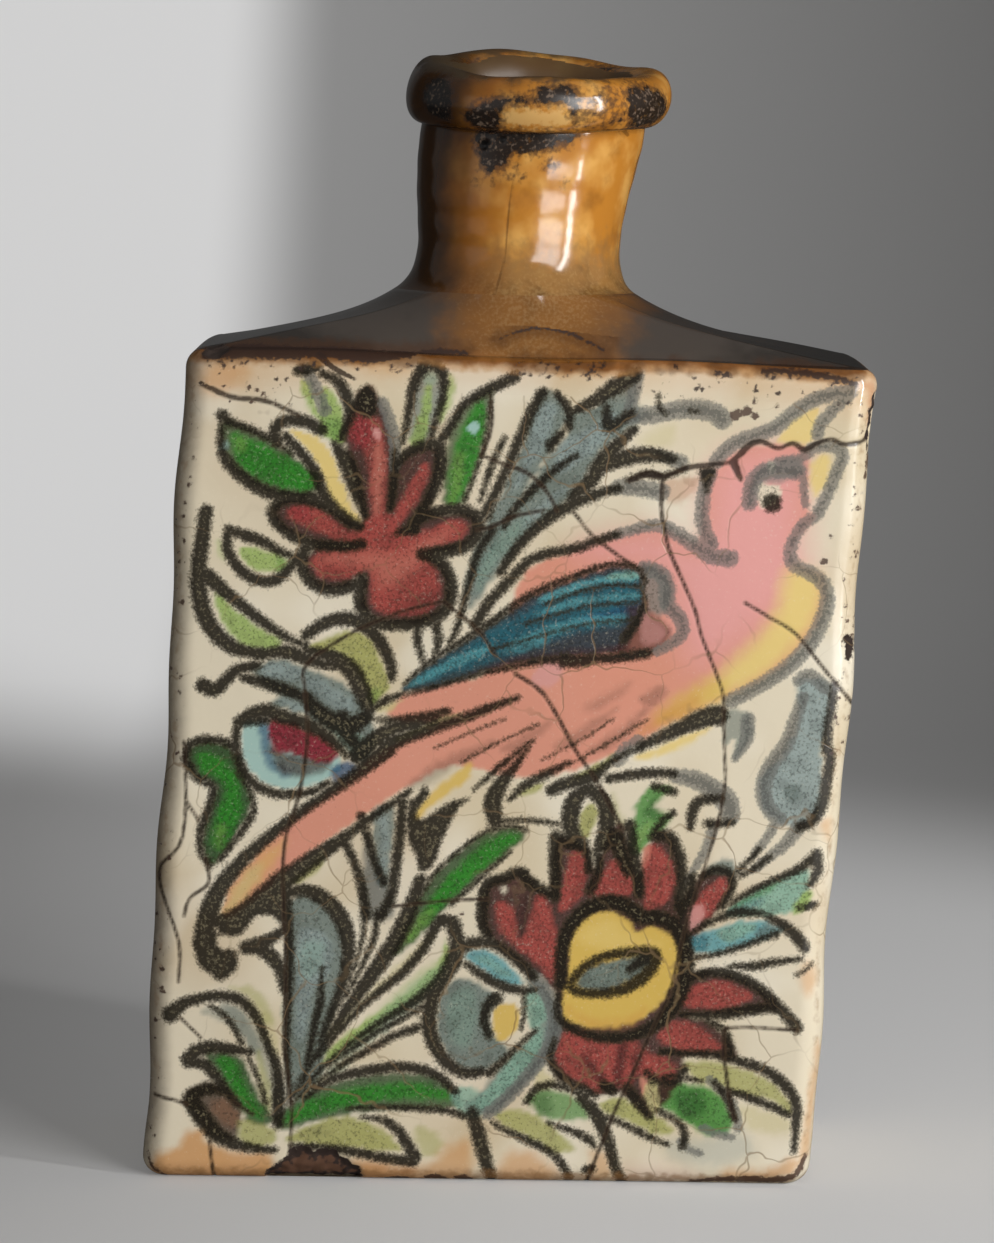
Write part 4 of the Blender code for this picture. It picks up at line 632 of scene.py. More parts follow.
lowLeaves = {"washes": [
    ("deepGreen", 0.9, 0.5, [(8.6, 19.2), (11.5, 19.6), (14, 18.9), (15.4, 16), (16.6, 13), (18.4, 10.6),
        (18.8, 8.8), (16.4, 8.3), (14.2, 10.2), (12.2, 13), (10.4, 16)]),
    ("green", 0.9, 0.7, [(10.4, 18.4), (12.6, 18.6), (14, 16.8), (15, 14), (16.6, 11.6), (17.6, 9.4),
        (15.6, 10), (13.4, 12.8), (11.6, 15.6)]),
    ("umber", 0.9, 0.6, [(5.4, 12.4), (6.6, 14), (9, 14.8), (11.6, 14.2), (14, 11), (14.4, 8), (13.6, 6),
        (10.4, 6.2), (8, 8.6), (6, 10.8)]),
    ("rust", 0.2, 0.7, [(10, 12), (12, 12.2), (14, 10), (13.4, 8), (11, 8.8), (9.8, 10.4)]),
    ("olive", 0.85, 0.6, [(14.2, 8.8), (17, 8.5), (19.6, 7.6), (19.8, 5.7), (17, 4.8), (14.8, 5.6)]),
    ("deepGreen", 0.88, 0.5, [(19.4, 9.8), (22, 12), (26, 14.2), (31, 15.9), (36, 16.6), (41, 16.6),
        (45, 15.4), (47.4, 13), (46, 11.4), (38, 11.2), (32, 10.6), (26, 9.2), (21, 7.8)]),
    ("green", 0.9, 0.7, [(20.4, 9.4), (24, 12), (29, 13.9), (35, 14.9), (41, 15.1), (44.6, 14.2),
        (45.6, 12.8), (40, 12.8), (34, 12.2), (28, 10.8), (22, 8.8)]),
    ("olive", 0.92, 0.5, [(21.6, 6.4), (25, 8.6), (29, 9.8), (33, 9.4), (36, 7.7), (38.8, 5.2), (36, 4.8),
        (30, 5.2), (25, 5.5)]),
    ("olive", 0.6, 0.7, [(40.6, 8.4), (43.4, 7.8), (45, 6), (44, 4), (41.8, 4.4)]),
    ("celadon", 0.85, 0.5, [(45.8, 13.8), (48.8, 14.6), (51.4, 12.4), (50.2, 10.2), (47.4, 10.6)]),
    ("olive", 0.88, 0.5, [(52.4, 10.6), (56, 11.2), (60, 9.8), (63, 7.5), (64.8, 5.5), (62, 4.9), (58, 6.9),
        (54.4, 8.6)]),
    ("green", 0.75, 0.6, [(57.2, 13), (60, 14.6), (63.4, 13.8), (66, 12.2), (66.8, 10.3), (63.6, 9.8),
        (60, 10.2)]),
    ("deepGreen", 0.45, 0.8, [(57.6, 12.6), (60, 14), (61, 11.6), (60, 10.4)]),
    ("olive", 0.92, 0.5, [(68.4, 12.5), (71, 13.4), (74.6, 12.2), (78, 10.1), (79.6, 8.3), (76.6, 8),
        (72.6, 9.8), (69.4, 11)]),
    ("green", 0.9, 0.6, [(76.2, 14.6), (79, 16.2), (82, 15.6), (85, 15.1), (87.2, 13), (88.6, 10.4),
        (87.6, 8.2), (84.6, 8), (82, 9.4), (79, 11.2), (76.4, 12.5)]),
    ("deepGreen", 0.6, 0.8, [(79.6, 14.4), (83, 14.6), (84.6, 12), (82, 10.6), (80, 12)]),
    ("olive", 0.85, 0.5, [(80.4, 18.7), (84, 19.2), (88, 18.5), (92, 17.3), (95, 15.3), (97, 13),
        (97.2, 11.2), (94, 13.4), (90, 14.2), (86, 15.4), (83, 16.3)]),
    ("straw", 0.5, 0.8, [(89.4, 12.4), (94, 11.6), (97, 10.4), (96.4, 8.4), (91, 9)]),
    ("paleSlate", 0.4, 1.5, [(79, 7), (84, 7.4), (90, 8.4), (92, 5), (86, 3), (80, 4)]),
    ("straw", 0.6, 0.5, [(58.4, 16.4), (59.6, 17.4), (61.4, 15.2), (58.6, 14.6)]),
], "ink": [
    ((2.4, 2.4, 2.1, 1.4), [(5.9, 18.3), (7.6, 19.7), (10, 20.2), (13, 19.9), (15.5, 19.6)]),
    ((2.4, 2.2, 1.9, 1.5), [(6.1, 18), (8.5, 17.5), (10, 15.9), (11.6, 13.7), (13.6, 11.4)]),
    ((1, 1.2), [(15.2, 18.6), (16.6, 15.4), (17.8, 12)]),
    ((2.8, 3, 2.6, 1.9, 1.3), [(6.4, 12.2), (7.6, 10.6), (9.4, 8.4), (11.4, 6.6), (14, 5.4), (17, 4.8),
        (20, 4.6)]),
    ((2.3, 2.4, 1.6), [(6.6, 12.8), (9, 13.8), (11.4, 13.4)]),
    ((1.2, 1.6, 1.8, 1.9), [(22.6, 5.3), (28, 5.1), (33, 4.3), (37, 3.6), (41, 3.1)]),
    ((1, 1.7, 2, 1.9, 1.6), [(23.6, 12.6), (26, 14.6), (29, 16.1), (33, 16.9), (37, 17.5), (41, 17.3),
        (44, 16.1), (46.4, 14)]),
    ((0.8, 1.3, 1.5), [(30, 11.2), (35, 11.4), (40, 11.3), (45, 11), (48, 10.2)]),
    ((0.9, 1.6, 1.9, 2), [(32.4, 9.9), (35.6, 9.5), (38, 8), (39.6, 6), (41.2, 3.8)]),
    ((2.2, 2.6, 2.3, 1.9), [(49, 10.6), (50.4, 7), (51.8, 3.6), (53, 0.6)]),
    ((1, 1.5, 1.5, 1.7), [(52, 9.3), (55, 7.8), (58.6, 6.3), (62, 4.5), (64, 2.2), (64.6, 0.8)]),
    ((1.4, 1.6, 1.4, 1.6), [(57.2, 12.6), (59, 14.8), (62, 15.1), (65.4, 13.9), (67.4, 12)]),
    ((0.9, 1.4, 1.6, 1), [(60.6, 9.3), (64, 8.3), (67, 6.9), (68, 5.8)]),
    ((1.8, 2.5, 2.2, 1.9, 1.9), [(65.4, 13.2), (67.6, 11), (69, 8.6), (70.2, 6), (71.4, 3), (72.6, 0.6)]),
    ((1.2, 1.5, 1), [(69.4, 10.5), (73, 8.9), (76.4, 7.3), (79, 6.3)]),
    ((1, 1.3, 1), [(76, 15.8), (79, 16.8), (83.4, 16.2)]),
    ((1.2, 1.6, 1.4), [(85.4, 16), (87.5, 13.6), (88.6, 10.6)], [(77, 11.6), (80, 10), (81.4, 8),
        (81.2, 6)]),
    ((1.3, 1.7, 1.4), [(86.4, 14.9), (90, 14.1), (93.6, 12.7), (97, 11.2)]),
    ((1.8, 1.6, 1.3), [(98.1, 12), (98.1, 9), (98.1, 5.6)]),
    (1.8, [(67.2, 2.2), (67.8, 2.4)]),
    (0.7, [(67.4, 2), (67.4, 0.3)]),
], "grey": [
    (1.5, [(84.6, 16.4), (87, 14.4), (88.8, 11.8), (89.4, 9)]),
    (1.2, [(80.8, 7), (82.4, 5.6), (84, 5)]),
    (1.3, [(84, 9), (86.4, 8), (88.6, 7.6)]),
]}
roundBud = {"washes": [
    ("slate", 0.92, 0.5, [(43.2, 25), (43.6, 28.5), (45.4, 31), (48, 31), (50.4, 29.8), (51.6, 28),
        (51, 25.6), (52, 22.4), (54.4, 20.8), (53.4, 18.8), (50.6, 17.4), (48, 17.2), (45.4, 19.2),
        (43.7, 22)]),
    ("celadon", 0.3, 0.8, [(45, 28.6), (48, 29.8), (49, 26), (48.4, 21), (46, 21.4), (44.6, 24.6)]),
    ("slate", 0.85, 0.6, [(56.4, 32.6), (59.2, 29.8), (61, 26.6), (61.6, 23.4), (60.6, 20), (58.6, 17.2),
        (56, 14.2), (53, 11.2), (50.6, 10.4), (48, 11.4), (50.4, 14), (53.4, 18), (57, 21.6), (57.4, 25),
        (56.4, 29)]),
    ("teal", 0.4, 0.8, [(57.4, 31.6), (60, 28), (61, 24), (60, 20.4), (57.8, 17.4), (59.4, 21), (59.8, 24.4),
        (58.8, 28)]),
    ("gold", 0.95, 0.35, [(52.2, 27.4), (54.4, 27.5), (55.5, 25.5), (54.9, 23.1), (53.2, 21.8), (51.8, 23.2),
        (51.6, 25.4)]),
    ("celadon", 0.85, 0.5, [(56.2, 29.2), (58.5, 28.8), (59.4, 25.6), (58.4, 23.6), (56.9, 24.6),
        (56.2, 26.6)]),
    ("aqua", 0.9, 0.4, [(46.5, 34.9), (48.6, 35.8), (51.1, 35.2), (53.6, 33.3), (55.4, 30.9), (54.8, 30.2),
        (52.3, 30.8), (49.6, 32.4), (47.4, 34)]),
    ("celadon", 0.5, 0.5, [(48.4, 34.6), (51, 34.2), (53.8, 31.8), (51.4, 32.2)]),
    ("celadon", 0.9, 0.4, [(58.8, 23.6), (57, 21.8), (54.6, 19.4), (53, 16.6), (50.3, 13.4), (48.6, 12.2),
        (50.4, 11.4), (53.4, 13.2), (56.4, 16.4), (58.9, 20)]),
], "ink": [
    ((1.9, 2.3, 2.6, 2.6, 2.4), [(50.4, 17), (47.6, 16.8), (44.8, 18.6), (42.8, 21.6), (42, 25),
        (42.4, 28.5), (43.8, 31.5), (45.4, 33.6)]),
    ((2, 2.2, 1.9, 1.9, 2), [(44.8, 34.6), (47, 36.3), (49.6, 36.8), (52, 36), (54.6, 34), (57, 31.8)]),
    ((1.4, 1.9, 1.9, 1.2), [(47, 33.3), (49.6, 31.7), (52, 30.4), (55, 29.6), (57.4, 29.6)]),
    ((2.6, 2, 1.8, 1.6), [(51.6, 28.2), (50.5, 27), (50.3, 24.8), (51.2, 22.6)]),
    (1, [(55.8, 28.4), (56.1, 26), (55.9, 23.8)]),
    ((1, 1.4, 1.6), [(58, 23.4), (55.6, 21), (53.4, 18.6), (51.4, 16.8)]),
], "grey": [
    ((2, 2.3, 2.2, 2), [(57, 31.8), (59, 29.4), (60.5, 26.5), (60.9, 23.6), (60.1, 20.6), (58.4, 18),
        (56, 15), (53.4, 12.3), (51.4, 10.6)]),
]}
bigFlower = {"washes": [
    ("maroon", 0.95, 0.5, [(49.4, 45.4), (52, 46.8), (55, 47.8), (57, 46), (59, 45), (59, 52), (60.6, 53),
        (63.4, 51.8), (65.4, 48.6), (66.4, 54), (68.6, 55.2), (70.4, 51), (72, 48), (73, 53.4), (75.6, 53.8),
        (78, 49), (78.6, 44), (80.4, 46.8), (83, 49), (86, 47.6), (85.2, 43.6), (81.8, 38.8), (80.6, 33),
        (84, 33), (89, 31.8), (94, 27.8), (88, 26.6), (81, 26.2), (84, 25.2), (87, 22.4), (88, 19.6),
        (81, 20), (80.4, 16.6), (76, 10.6), (72, 14), (69.4, 13.6), (66, 14.4), (61.4, 16.8), (60.4, 21),
        (60.6, 29), (55.6, 33), (50.2, 37.6), (49, 40)]),
    ("madder", 0.92, 0.5, [(51.3, 42.7), (53.2, 42.6), (54.5, 40), (55, 37.6), (56.4, 40.4), (57, 43.8),
        (58.7, 43.4), (60.1, 40), (60.8, 36.4), (60.9, 33), (60, 31.2), (58, 33), (55.6, 35.4), (53.2, 37.2),
        (52, 39)]),
    ("maroon", 0.6, 0.4, [(55.2, 43.6), (56, 43), (55.8, 39.4), (55.1, 37.4), (54.6, 40.6)]),
    ("madder", 0.92, 0.5, [(61, 44), (61, 47), (61.6, 50.4), (63, 51), (64, 48.6), (64.2, 45), (62.8, 42.8),
        (60.8, 41.6)]),
    ("madder", 0.88, 0.5, [(65, 44.6), (66.2, 47.6), (68.2, 49.6), (69.8, 48.6), (71.4, 46.4), (71, 44.6),
        (68, 44.4)]),
    ("madder", 0.92, 0.5, [(72, 50.6), (73.4, 52.6), (75.2, 51), (77, 49), (77.5, 46), (76, 43),
        (73.4, 42.4), (73.2, 45.6)]),
    ("salmon", 0.6, 0.5, [(72, 51.6), (73.2, 52.4), (72.8, 49.4), (72, 49)]),
    ("madder", 0.92, 0.5, [(80, 41), (81.4, 44.4), (83.4, 47), (84.8, 47.5), (85.5, 45.6), (84, 42.8),
        (82.2, 40.8)]),
    ("rose", 0.75, 0.6, [(79.4, 40), (79.8, 42.4), (82, 43), (82.2, 40.6), (80.7, 39.2)]),
    ("slate", 0.85, 0.5, [(82, 48.4), (83.5, 50.2), (85.6, 49.8), (86.2, 47.8), (84.4, 48)]),
    ("madder", 0.92, 0.5, [(79.2, 28), (81, 30.6), (84, 31.7), (87, 31.2), (89.8, 29.6), (88, 28),
        (84, 27.4)], [(76.4, 23), (78.4, 25.2), (81, 25.1), (84.2, 23), (86.2, 21.2), (83, 20.7),
        (79, 21.1)]),
    ("madder", 0.92, 0.6, [(61.2, 20), (61.8, 22.8), (64.4, 23.4), (69, 21.8), (72.6, 22.1), (75, 20.6),
        (77.8, 19.7), (79.4, 17.6), (78, 16.1), (74, 16.9), (72.6, 14.6), (70, 15.6), (67.6, 14.2),
        (66, 15.4), (63.2, 16.8)]),
    ("maroon", 0.7, 0.5, [(65, 20), (66.4, 19.4), (69.4, 15.6), (68.2, 15.4)], [(70.4, 21.4), (71.8, 21),
        (71.6, 16), (70.4, 16)]),
    ("maroon", 0.6, 0.5, [(73, 20.6), (74.4, 19.8), (73.6, 16.4), (72.6, 16.6)]),
    ("salmon", 0.8, 0.4, [(74.4, 16.8), (75.6, 15.6), (75.2, 13.8), (74.4, 14.6)]),
    ("straw", 0.9, 0.4, [(75.4, 15.8), (76.8, 16), (77.2, 13.2), (77.4, 11.4), (76.2, 11.4), (75, 13.4)]),
    ("gold", 0.97, 0.4, [(62.4, 33.4), (62.4, 36.6), (63.8, 39.8), (66.6, 41.7), (69.7, 41.6), (71.5, 40.2),
        (72.2, 38.9), (73.2, 38.9), (74.6, 39.7), (77.2, 38.8), (78.8, 36.4), (78.6, 33), (77.2, 29.6),
        (74.6, 26.2), (71, 24.4), (66.8, 24), (62.8, 24.8), (61.6, 27), (61.8, 30)]),
    ("yellow", 0.5, 1.5, [(64, 38), (68, 40.6), (72, 38), (76, 37), (74, 37), (68, 36)]),
    ("tan", 0.4, 1.2, [(62.4, 27), (66, 25.4), (71, 25.4), (74, 27), (72, 24.6), (66, 24.2)]),
    ("slate", 0.97, 0.4, [(63.6, 31), (65.6, 33.2), (69, 34.4), (74, 35.4), (74.6, 34), (72, 31.6), (69, 30),
        (65.4, 29.8)]),
], "ink": [
    ((1.8, 2.2, 2), [(50.4, 37.4), (49.4, 39.6), (49.3, 43), (49.8, 45.6), (52, 46.6)]),
    ((2, 2.2, 1.8), [(51.8, 46.4), (54.4, 47.5), (55.8, 46.2), (57.4, 45.2), (59, 44.4)]),
    ((2.2, 2), [(58.8, 53), (59.2, 50), (59.7, 47), (60, 44)]),
    ((1.7, 1.6), [(59.4, 53), (61, 51.8), (62.6, 51.9), (64, 50.6), (64.6, 48)]),
    ((1.5, 2), [(65.2, 51.4), (66, 48), (65.2, 45)]),
    ((3, 2.2), [(67.8, 53), (69, 50.6), (70.4, 48)]),
    ((2.2, 1.9), [(69.6, 55), (70.6, 51), (71.8, 47.6), (72.4, 44.6)]),
    ((2.1, 2), [(73.6, 53.6), (75.6, 53.5), (77.2, 51.2), (78.2, 48.4), (78.6, 45.6), (78.6, 42.6)]),
    ((1.8, 2), [(79.8, 47.4), (80, 44.6), (79.3, 41.6), (79.6, 39.4)]),
    (1.6, [(81.4, 47.6), (83.2, 48.6), (85.4, 47.9), (86, 45.6), (84.8, 43)]),
    ((2.2, 2.5, 2.7, 2.5, 2.8, 2.7, 2.1, 1.7, 1.4), [(61.3, 30.5), (61.2, 35), (62.4, 39.2), (65, 42.2),
        (68.6, 43.3), (71.6, 42.2), (73.2, 41), (76, 41), (78.8, 39.2), (80, 35.6), (79.8, 31.6),
        (78.2, 27.5), (75.4, 24.4), (71.6, 22.8), (67.6, 22.6), (63.6, 23.8), (61.2, 25.8), (61, 29)]),
    ((1.6, 1.7, 1.8, 2.3, 1.8, 1.6), [(62.8, 31), (64.6, 33.2), (67.4, 34.8), (71, 35.6), (75, 35.8),
        (75.3, 34.2), (73.4, 31.8), (70.6, 30), (67, 29.3), (63.6, 29.6), (62.6, 30.4)]),
    ((1.4, 2.6, 1.6), [(71.4, 33), (73.6, 34.6), (75, 35.2)]),
    ((1.6, 2, 2, 2.2), [(80.6, 32), (84, 33), (87.6, 32.4), (91, 30.6), (94, 27.8), (96.8, 24.7)]),
    ((1.4, 1.9, 2.2, 1.6), [(79.6, 26.4), (84, 26.3), (88, 26.9), (91.5, 27.6), (94, 27.4)]),
    ((1.2, 1.5, 1.4), [(83.6, 25.4), (86, 24.1), (87, 22), (87.4, 20.4)]),
    ((1.4, 1.5, 1.8, 2, 1.8), [(77, 20.6), (81, 20.4), (85, 20.3), (88.5, 19.4), (92, 18.4), (95, 16.6),
        (97.4, 14), (98.2, 11.4)]),
    ((1.3, 1.5), [(75, 17.4), (77.4, 16), (79.8, 16), (80.8, 18)]),
    (1.9, [(68.8, 15.3), (70.2, 14.5)]),
    ((1.2, 1.7, 1.4), [(61, 22), (60.6, 19), (62.4, 16.4), (65, 15), (67.6, 13.8)]),
    ((2, 1.9, 1.3), [(72.2, 15), (74.6, 12.2), (76, 10.4)]),
]}
tealLeaves = {"washes": [
    ("celadon", 0.95, 0.4, [(85.6, 41.8), (88, 44.7), (91, 46.5), (94, 48), (96.7, 49), (97.2, 46),
        (96.8, 43.2), (94, 42), (90, 41.6)]),
    ("teal", 0.4, 0.6, [(86, 42.4), (89, 44.6), (91, 44.4), (89.6, 42.4)]),
    ("green", 0.5, 0.6, [(86.4, 43), (90, 45.6), (93, 47.2), (91, 45)]),
    ("lime", 0.9, 0.4, [(95.4, 42.6), (96.2, 45.2), (97.8, 45.4), (97.8, 43.4), (96.4, 42.2)]),
    ("aqua", 0.9, 0.5, [(80.3, 37.5), (81.4, 35.8), (84, 35.7), (87, 36.5), (90, 37.7), (93, 38.8),
        (94, 39.8), (91, 41), (88, 40.8), (84.5, 39.8), (82.2, 38.8)]),
    ("teal", 0.6, 0.5, [(80.3, 37.5), (81.4, 36), (83, 36.2), (82.6, 38.6)]),
    ("celadon", 0.8, 0.5, [(84.6, 39.4), (88, 40.6), (90.4, 40.4), (89, 38.6), (86, 37.6)]),
    ("slate", 0.6, 0.5, [(90, 38.6), (92, 40.8), (94.6, 39.8), (92.4, 38.6)]),
    ("ivory", 0.8, 0.3, [(51.6, 45), (52.4, 45.6), (52.9, 44.6), (52.2, 44.1)]),
], "ink": [
    ((1.1, 1.5, 1.4, 1.8, 2), [(86, 43.4), (89, 45.5), (92.5, 47.4), (95.6, 49), (97.8, 51.2)]),
    ((2, 2, 1.3), [(97.8, 51), (98.3, 48.8), (97.4, 46.4)]),
    ((1.3, 2, 1.6, 1), [(84.6, 41.2), (87, 42.1), (89.6, 42.2), (92, 41.8)]),
    ((1.2, 1.6), [(96.4, 43), (98.5, 43.5)]),
    ((1.1, 1.3, 1.4), [(81, 35.1), (84, 35.6), (87, 36.5), (90, 37.7), (93.4, 39)]),
    ((0.9, 1.4, 1.2), [(80.8, 39), (82.6, 40.2), (84.8, 41.2)]),
    ((1.4, 2, 2.2, 2), [(92, 41.5), (94.6, 40.2), (96.6, 38.4), (97.7, 37)]),
    ((1, 1.7, 1.6, 1.1), [(86.4, 34), (90, 34), (93, 34.6), (97.2, 35.3)]),
    ((0.9, 0.7), [(96.5, 32.8), (98, 33.6), (99, 34.6)]),
]}
motifs = [upperLeaves, leftSprig, slateBud, plumes, redFlower, iris, longLeaf, lowLeaves, bird, rightSprig,
          bigFlower, roundBud, tealLeaves]

# What the years did to the panel: tan stains, grey specks, cracks and chips, and an umber wash of painted
# shade down the left edge
ageing = {"stains": [
    ("tan", 0.75, 1, [(2, 3.4), (5, 4.6), (6.4, 7), (8.4, 7.6), (10, 5.6), (14, 4.4), (19, 4), (20, 1),
        (18, -1), (3, -1)]),
    ("rust", 0.45, 1.2, [(33, 3), (37, 2.8), (41, 2.2), (40, 0), (34, 0)]),
    ("tan", 0.6, 1.5, [(32, 3.4), (42, 2.4), (46, 5.6), (49, 6.4), (50, 2), (48, -1), (32, -1)]),
    ("tan", 0.6, 1.4, [(54.6, 4), (58, 5), (61, 3.6), (63, 1), (60, -1), (54, -1)]),
    ("tan", 0.5, 1.2, [(67.6, 5), (70, 4.6), (71, 1.4), (68.4, 0)]),
    ("rose", 0.25, 2, [(73, 3), (80, 3), (84, 1), (74, 0)]),
    ("tan", 0.6, 1, [(88, 2.6), (94, 2.6), (98, 4.6), (99.4, 3.4), (97, 1.4), (89, 1)]),
    ("tan", 0.5, 0.8, [(99, 4), (99.6, 12), (100, 22), (100.8, 20), (100.6, 6)]),
    ("tan", 0.5, 1, [(98, 56), (99.4, 56.4), (99.6, 53.6), (98.6, 54)], [(97, 33), (98.6, 35), (99.6, 32),
        (98, 29.6)]),
    ("tan", 0.45, 1.6, [(2.6, 119), (4, 122.6), (9, 122.4), (8.6, 119.6), (5, 118)]),
    ("tan", 0.3, 3, [(1, 118), (20, 119.6), (40, 121), (60, 120.6), (80, 120), (100, 118), (101, 124),
        (0, 124)]),
    ("umber", 0.55, 1.2, [(2, 122.6), (10, 122.8), (20, 122.4), (28, 123), (36, 123.4), (36, 125.4),
        (2, 125)]),
    ("tan", 0.35, 1.4, [(10, 122.6), (22, 122.8), (30, 121.4), (32, 122.6), (24, 124), (10, 124)]),
    ("tan", 0.5, 1, [(64, 124), (70, 123), (78, 123.2), (90, 122.8), (97, 121.6), (98, 123), (84, 124.4)]),
    ("rust", 0.5, 0.8, [(98, 122), (99.6, 121), (100.4, 116), (100.9, 118), (100.4, 123)]),
    # painted shade down the left rounded corner, which turns away from the light
    ("umber", 0.75, 2.6, [(-3, 124), (1, 122), (0.8, 80), (1.4, 40), (1, 6), (-3, 2)]),
], "cracks": [
    ((0.2, 0.5, 0.2, 0.6, 0.2, 0.5, 0.7), [(100.8, 114.6), (99.5, 113.6), (97, 113.2), (95, 113.9),
        (93, 113.2), (91.3, 112.2), (89.5, 113.1), (87.5, 112.3), (85, 113.2), (83.3, 112.7), (82, 111.3)]),
    ((0.6, 0.2, 0.5, 0.3, 0.8, 0.4), [(82, 111.3), (80.5, 110), (78, 109.6), (74, 108.9), (71, 107.6),
        (68.5, 107.9), (66, 106.8)]),
    ((1, 0.4), [(81, 110), (82.2, 107.5)]),
    ((0.3, 0.1, 0.2), [(70.8, 107), (71, 103), (71.8, 100), (73, 96.5), (75, 92.5), (77, 88), (78, 84),
        (79.2, 81), (80.5, 78), (81.7, 75), (82.3, 71), (83.3, 63), (83, 58), (82, 52), (81, 46), (79.4, 38),
        (77.6, 30), (75, 23), (72.6, 16), (70.4, 11), (68.6, 5), (67.4, 0)]),
    ((0.1, 0.2, 0.2, 0.15), [(39.5, 88), (33, 86), (26, 82.5), (20.4, 78), (20.5, 74), (21, 68), (20.2, 58),
        (19.2, 52), (19.4, 44), (19.9, 36), (20.6, 26), (20.6, 20), (21.6, 12), (22.2, 5), (22, 3)]),
    (0.22, [(44, 110), (48, 108.5), (51, 107.5), (54, 105), (56, 102)], [(58.5, 101.8), (61.5, 98.5),
        (65, 96), (68, 94)], [(40, 88), (45, 84), (48, 80)]),
    (0.2, [(44.7, 98.8), (47, 99.5), (50, 101), (54, 102)], [(45, 119), (45.3, 114.5), (44.3, 110)],
        [(1, 12.6), (4, 12), (6, 11.4)], [(10, 6), (10.6, 3), (11.2, -0.4)]),
    (0.25, [(51, 77.5), (55, 75), (58, 71), (61, 66), (64, 62), (66.4, 58), (68.6, 54.4)], [(86, 24),
        (86.2, 21), (87, 17.4), (88, 13), (89, 10)]),
    (0.18, [(84.5, 89), (88, 87), (92, 84.5), (96.5, 79), (101, 74)], [(4, 57), (6, 54.4)]),
    ((0.5, 0.25), [(2.5, 119.5), (7, 117.5), (12, 117), (17, 115)]),
    (0.16, [(36, 42), (44, 43), (50, 43.4)], [(86.2, 24.4), (90, 24.6), (97, 24.3)], [(5, 24.5), (8, 21.6)],
        [(2.6, 66), (4, 52), (0.6, 46), (4, 36), (4.4, 30)], [(16, 10), (12.6, 12)], [(7.6, 48.6), (8.2, 45),
        (5.4, 42.6), (4.6, 40)]),
    ((0.9, 0.4), [(19.6, 123.8), (21.8, 122), (25, 120.4)]),
], "chips": [
    [(18.8, 0.3), (19.5, 1.8), (21, 3), (22.5, 4.6), (24.5, 5.6), (26, 4.7), (28, 5), (30, 4.1), (31.5, 3),
        (33, 2), (33.3, 0.5), (32, -0.6), (26, -0.8), (20, -0.6)],
    [(99.2, 83.4), (100.4, 84.6), (101, 82), (100, 80.6)],
    [(100.2, 119), (101.2, 121), (101.4, 113), (100.6, 112.6)],
    [(2.4, 123.6), (3.6, 125.2), (6, 125), (6.4, 124), (4, 123.2)],
], "burntEdges": [
    ((1.2, 2.2, 1.4, 2, 1), [(3, 123.6), (9, 124.2), (15, 124), (21, 124.2), (27, 123.8), (33, 124.4)]),
    ((0.8, 1, 0.7), [(84, 123.7), (88, 123.8), (92, 123.5), (95.5, 123), (97.6, 122.2)]),
    ((0.5, 0.9, 0.5), [(34, 124.7), (37, 125), (41, 125)]),
    ((0.7, 1.2, 1.2, 0.8), [(83, 0.4), (87, 0.9), (91, 1), (95, 0.9), (98, 1.4), (99.3, 2.6), (99.9, 4.6)]),
    ((0.4, 0.7), [(100.6, 108), (100.9, 112), (100.8, 119)]),
    ((0.5, 0.9, 0.4), [(37, 0.2), (39, 0.3), (40.4, 0.3)]),
    ((0.6, 1.1, 0.5), [(43, 0.6), (44.4, 0.7), (46, 0.4)]),
    ((0.8, 1.3, 0.6), [(47.6, 0.5), (48.8, 0.6), (50, 0.2)]),
    ((0.4, 0.7, 0.4), [(0.8, 4), (1.8, 1.6), (4, 0)]),
    ((0.1, 0.5, 0.6, 0.3), [(45.3, 127.2), (48.5, 128.6), (52, 129), (56, 128), (60.7, 125.8)]),
    ((0.5, 1, 0.6), [(59.6, 130.4), (60.6, 129.4), (61.6, 128)]),
    (0.5, [(58, 129.2), (58.6, 129.4)]),
], "specks": [
    (80.9, 117, 0.9), (82.4, 117.6, 0.8), (83.6, 117, 0.6), (83.4, 120.7, 0.4), (83.5, 119, 0.4),
    (86.7, 118.5, 0.35), (77.5, 123, 0.5), (79, 122.8, 0.5), (74.2, 121.9, 0.3), (75.5, 120.5, 0.3),
    (96.3, 99.3, 0.35), (95.6, 95.5, 0.5), (13.6, 120.3, 0.3), (15, 120.2, 0.3), (46.2, 41, 0.3),
    (9.6, 119, 0.4), (11.6, 118, 0.35),
], "scattered": [
    (48, 61, 121.8, 124.4, 70), (3, 34, 121.6, 124, 60), (64, 98, 119, 123.6, 60), (0.2, 2.6, 5, 118, 110),
    (98.6, 101, 60, 121, 70), (4, 16, 116, 121, 26),  # across from, to, up from, to, how many
]}
print("painting listed:", len(motifs), "motifs")

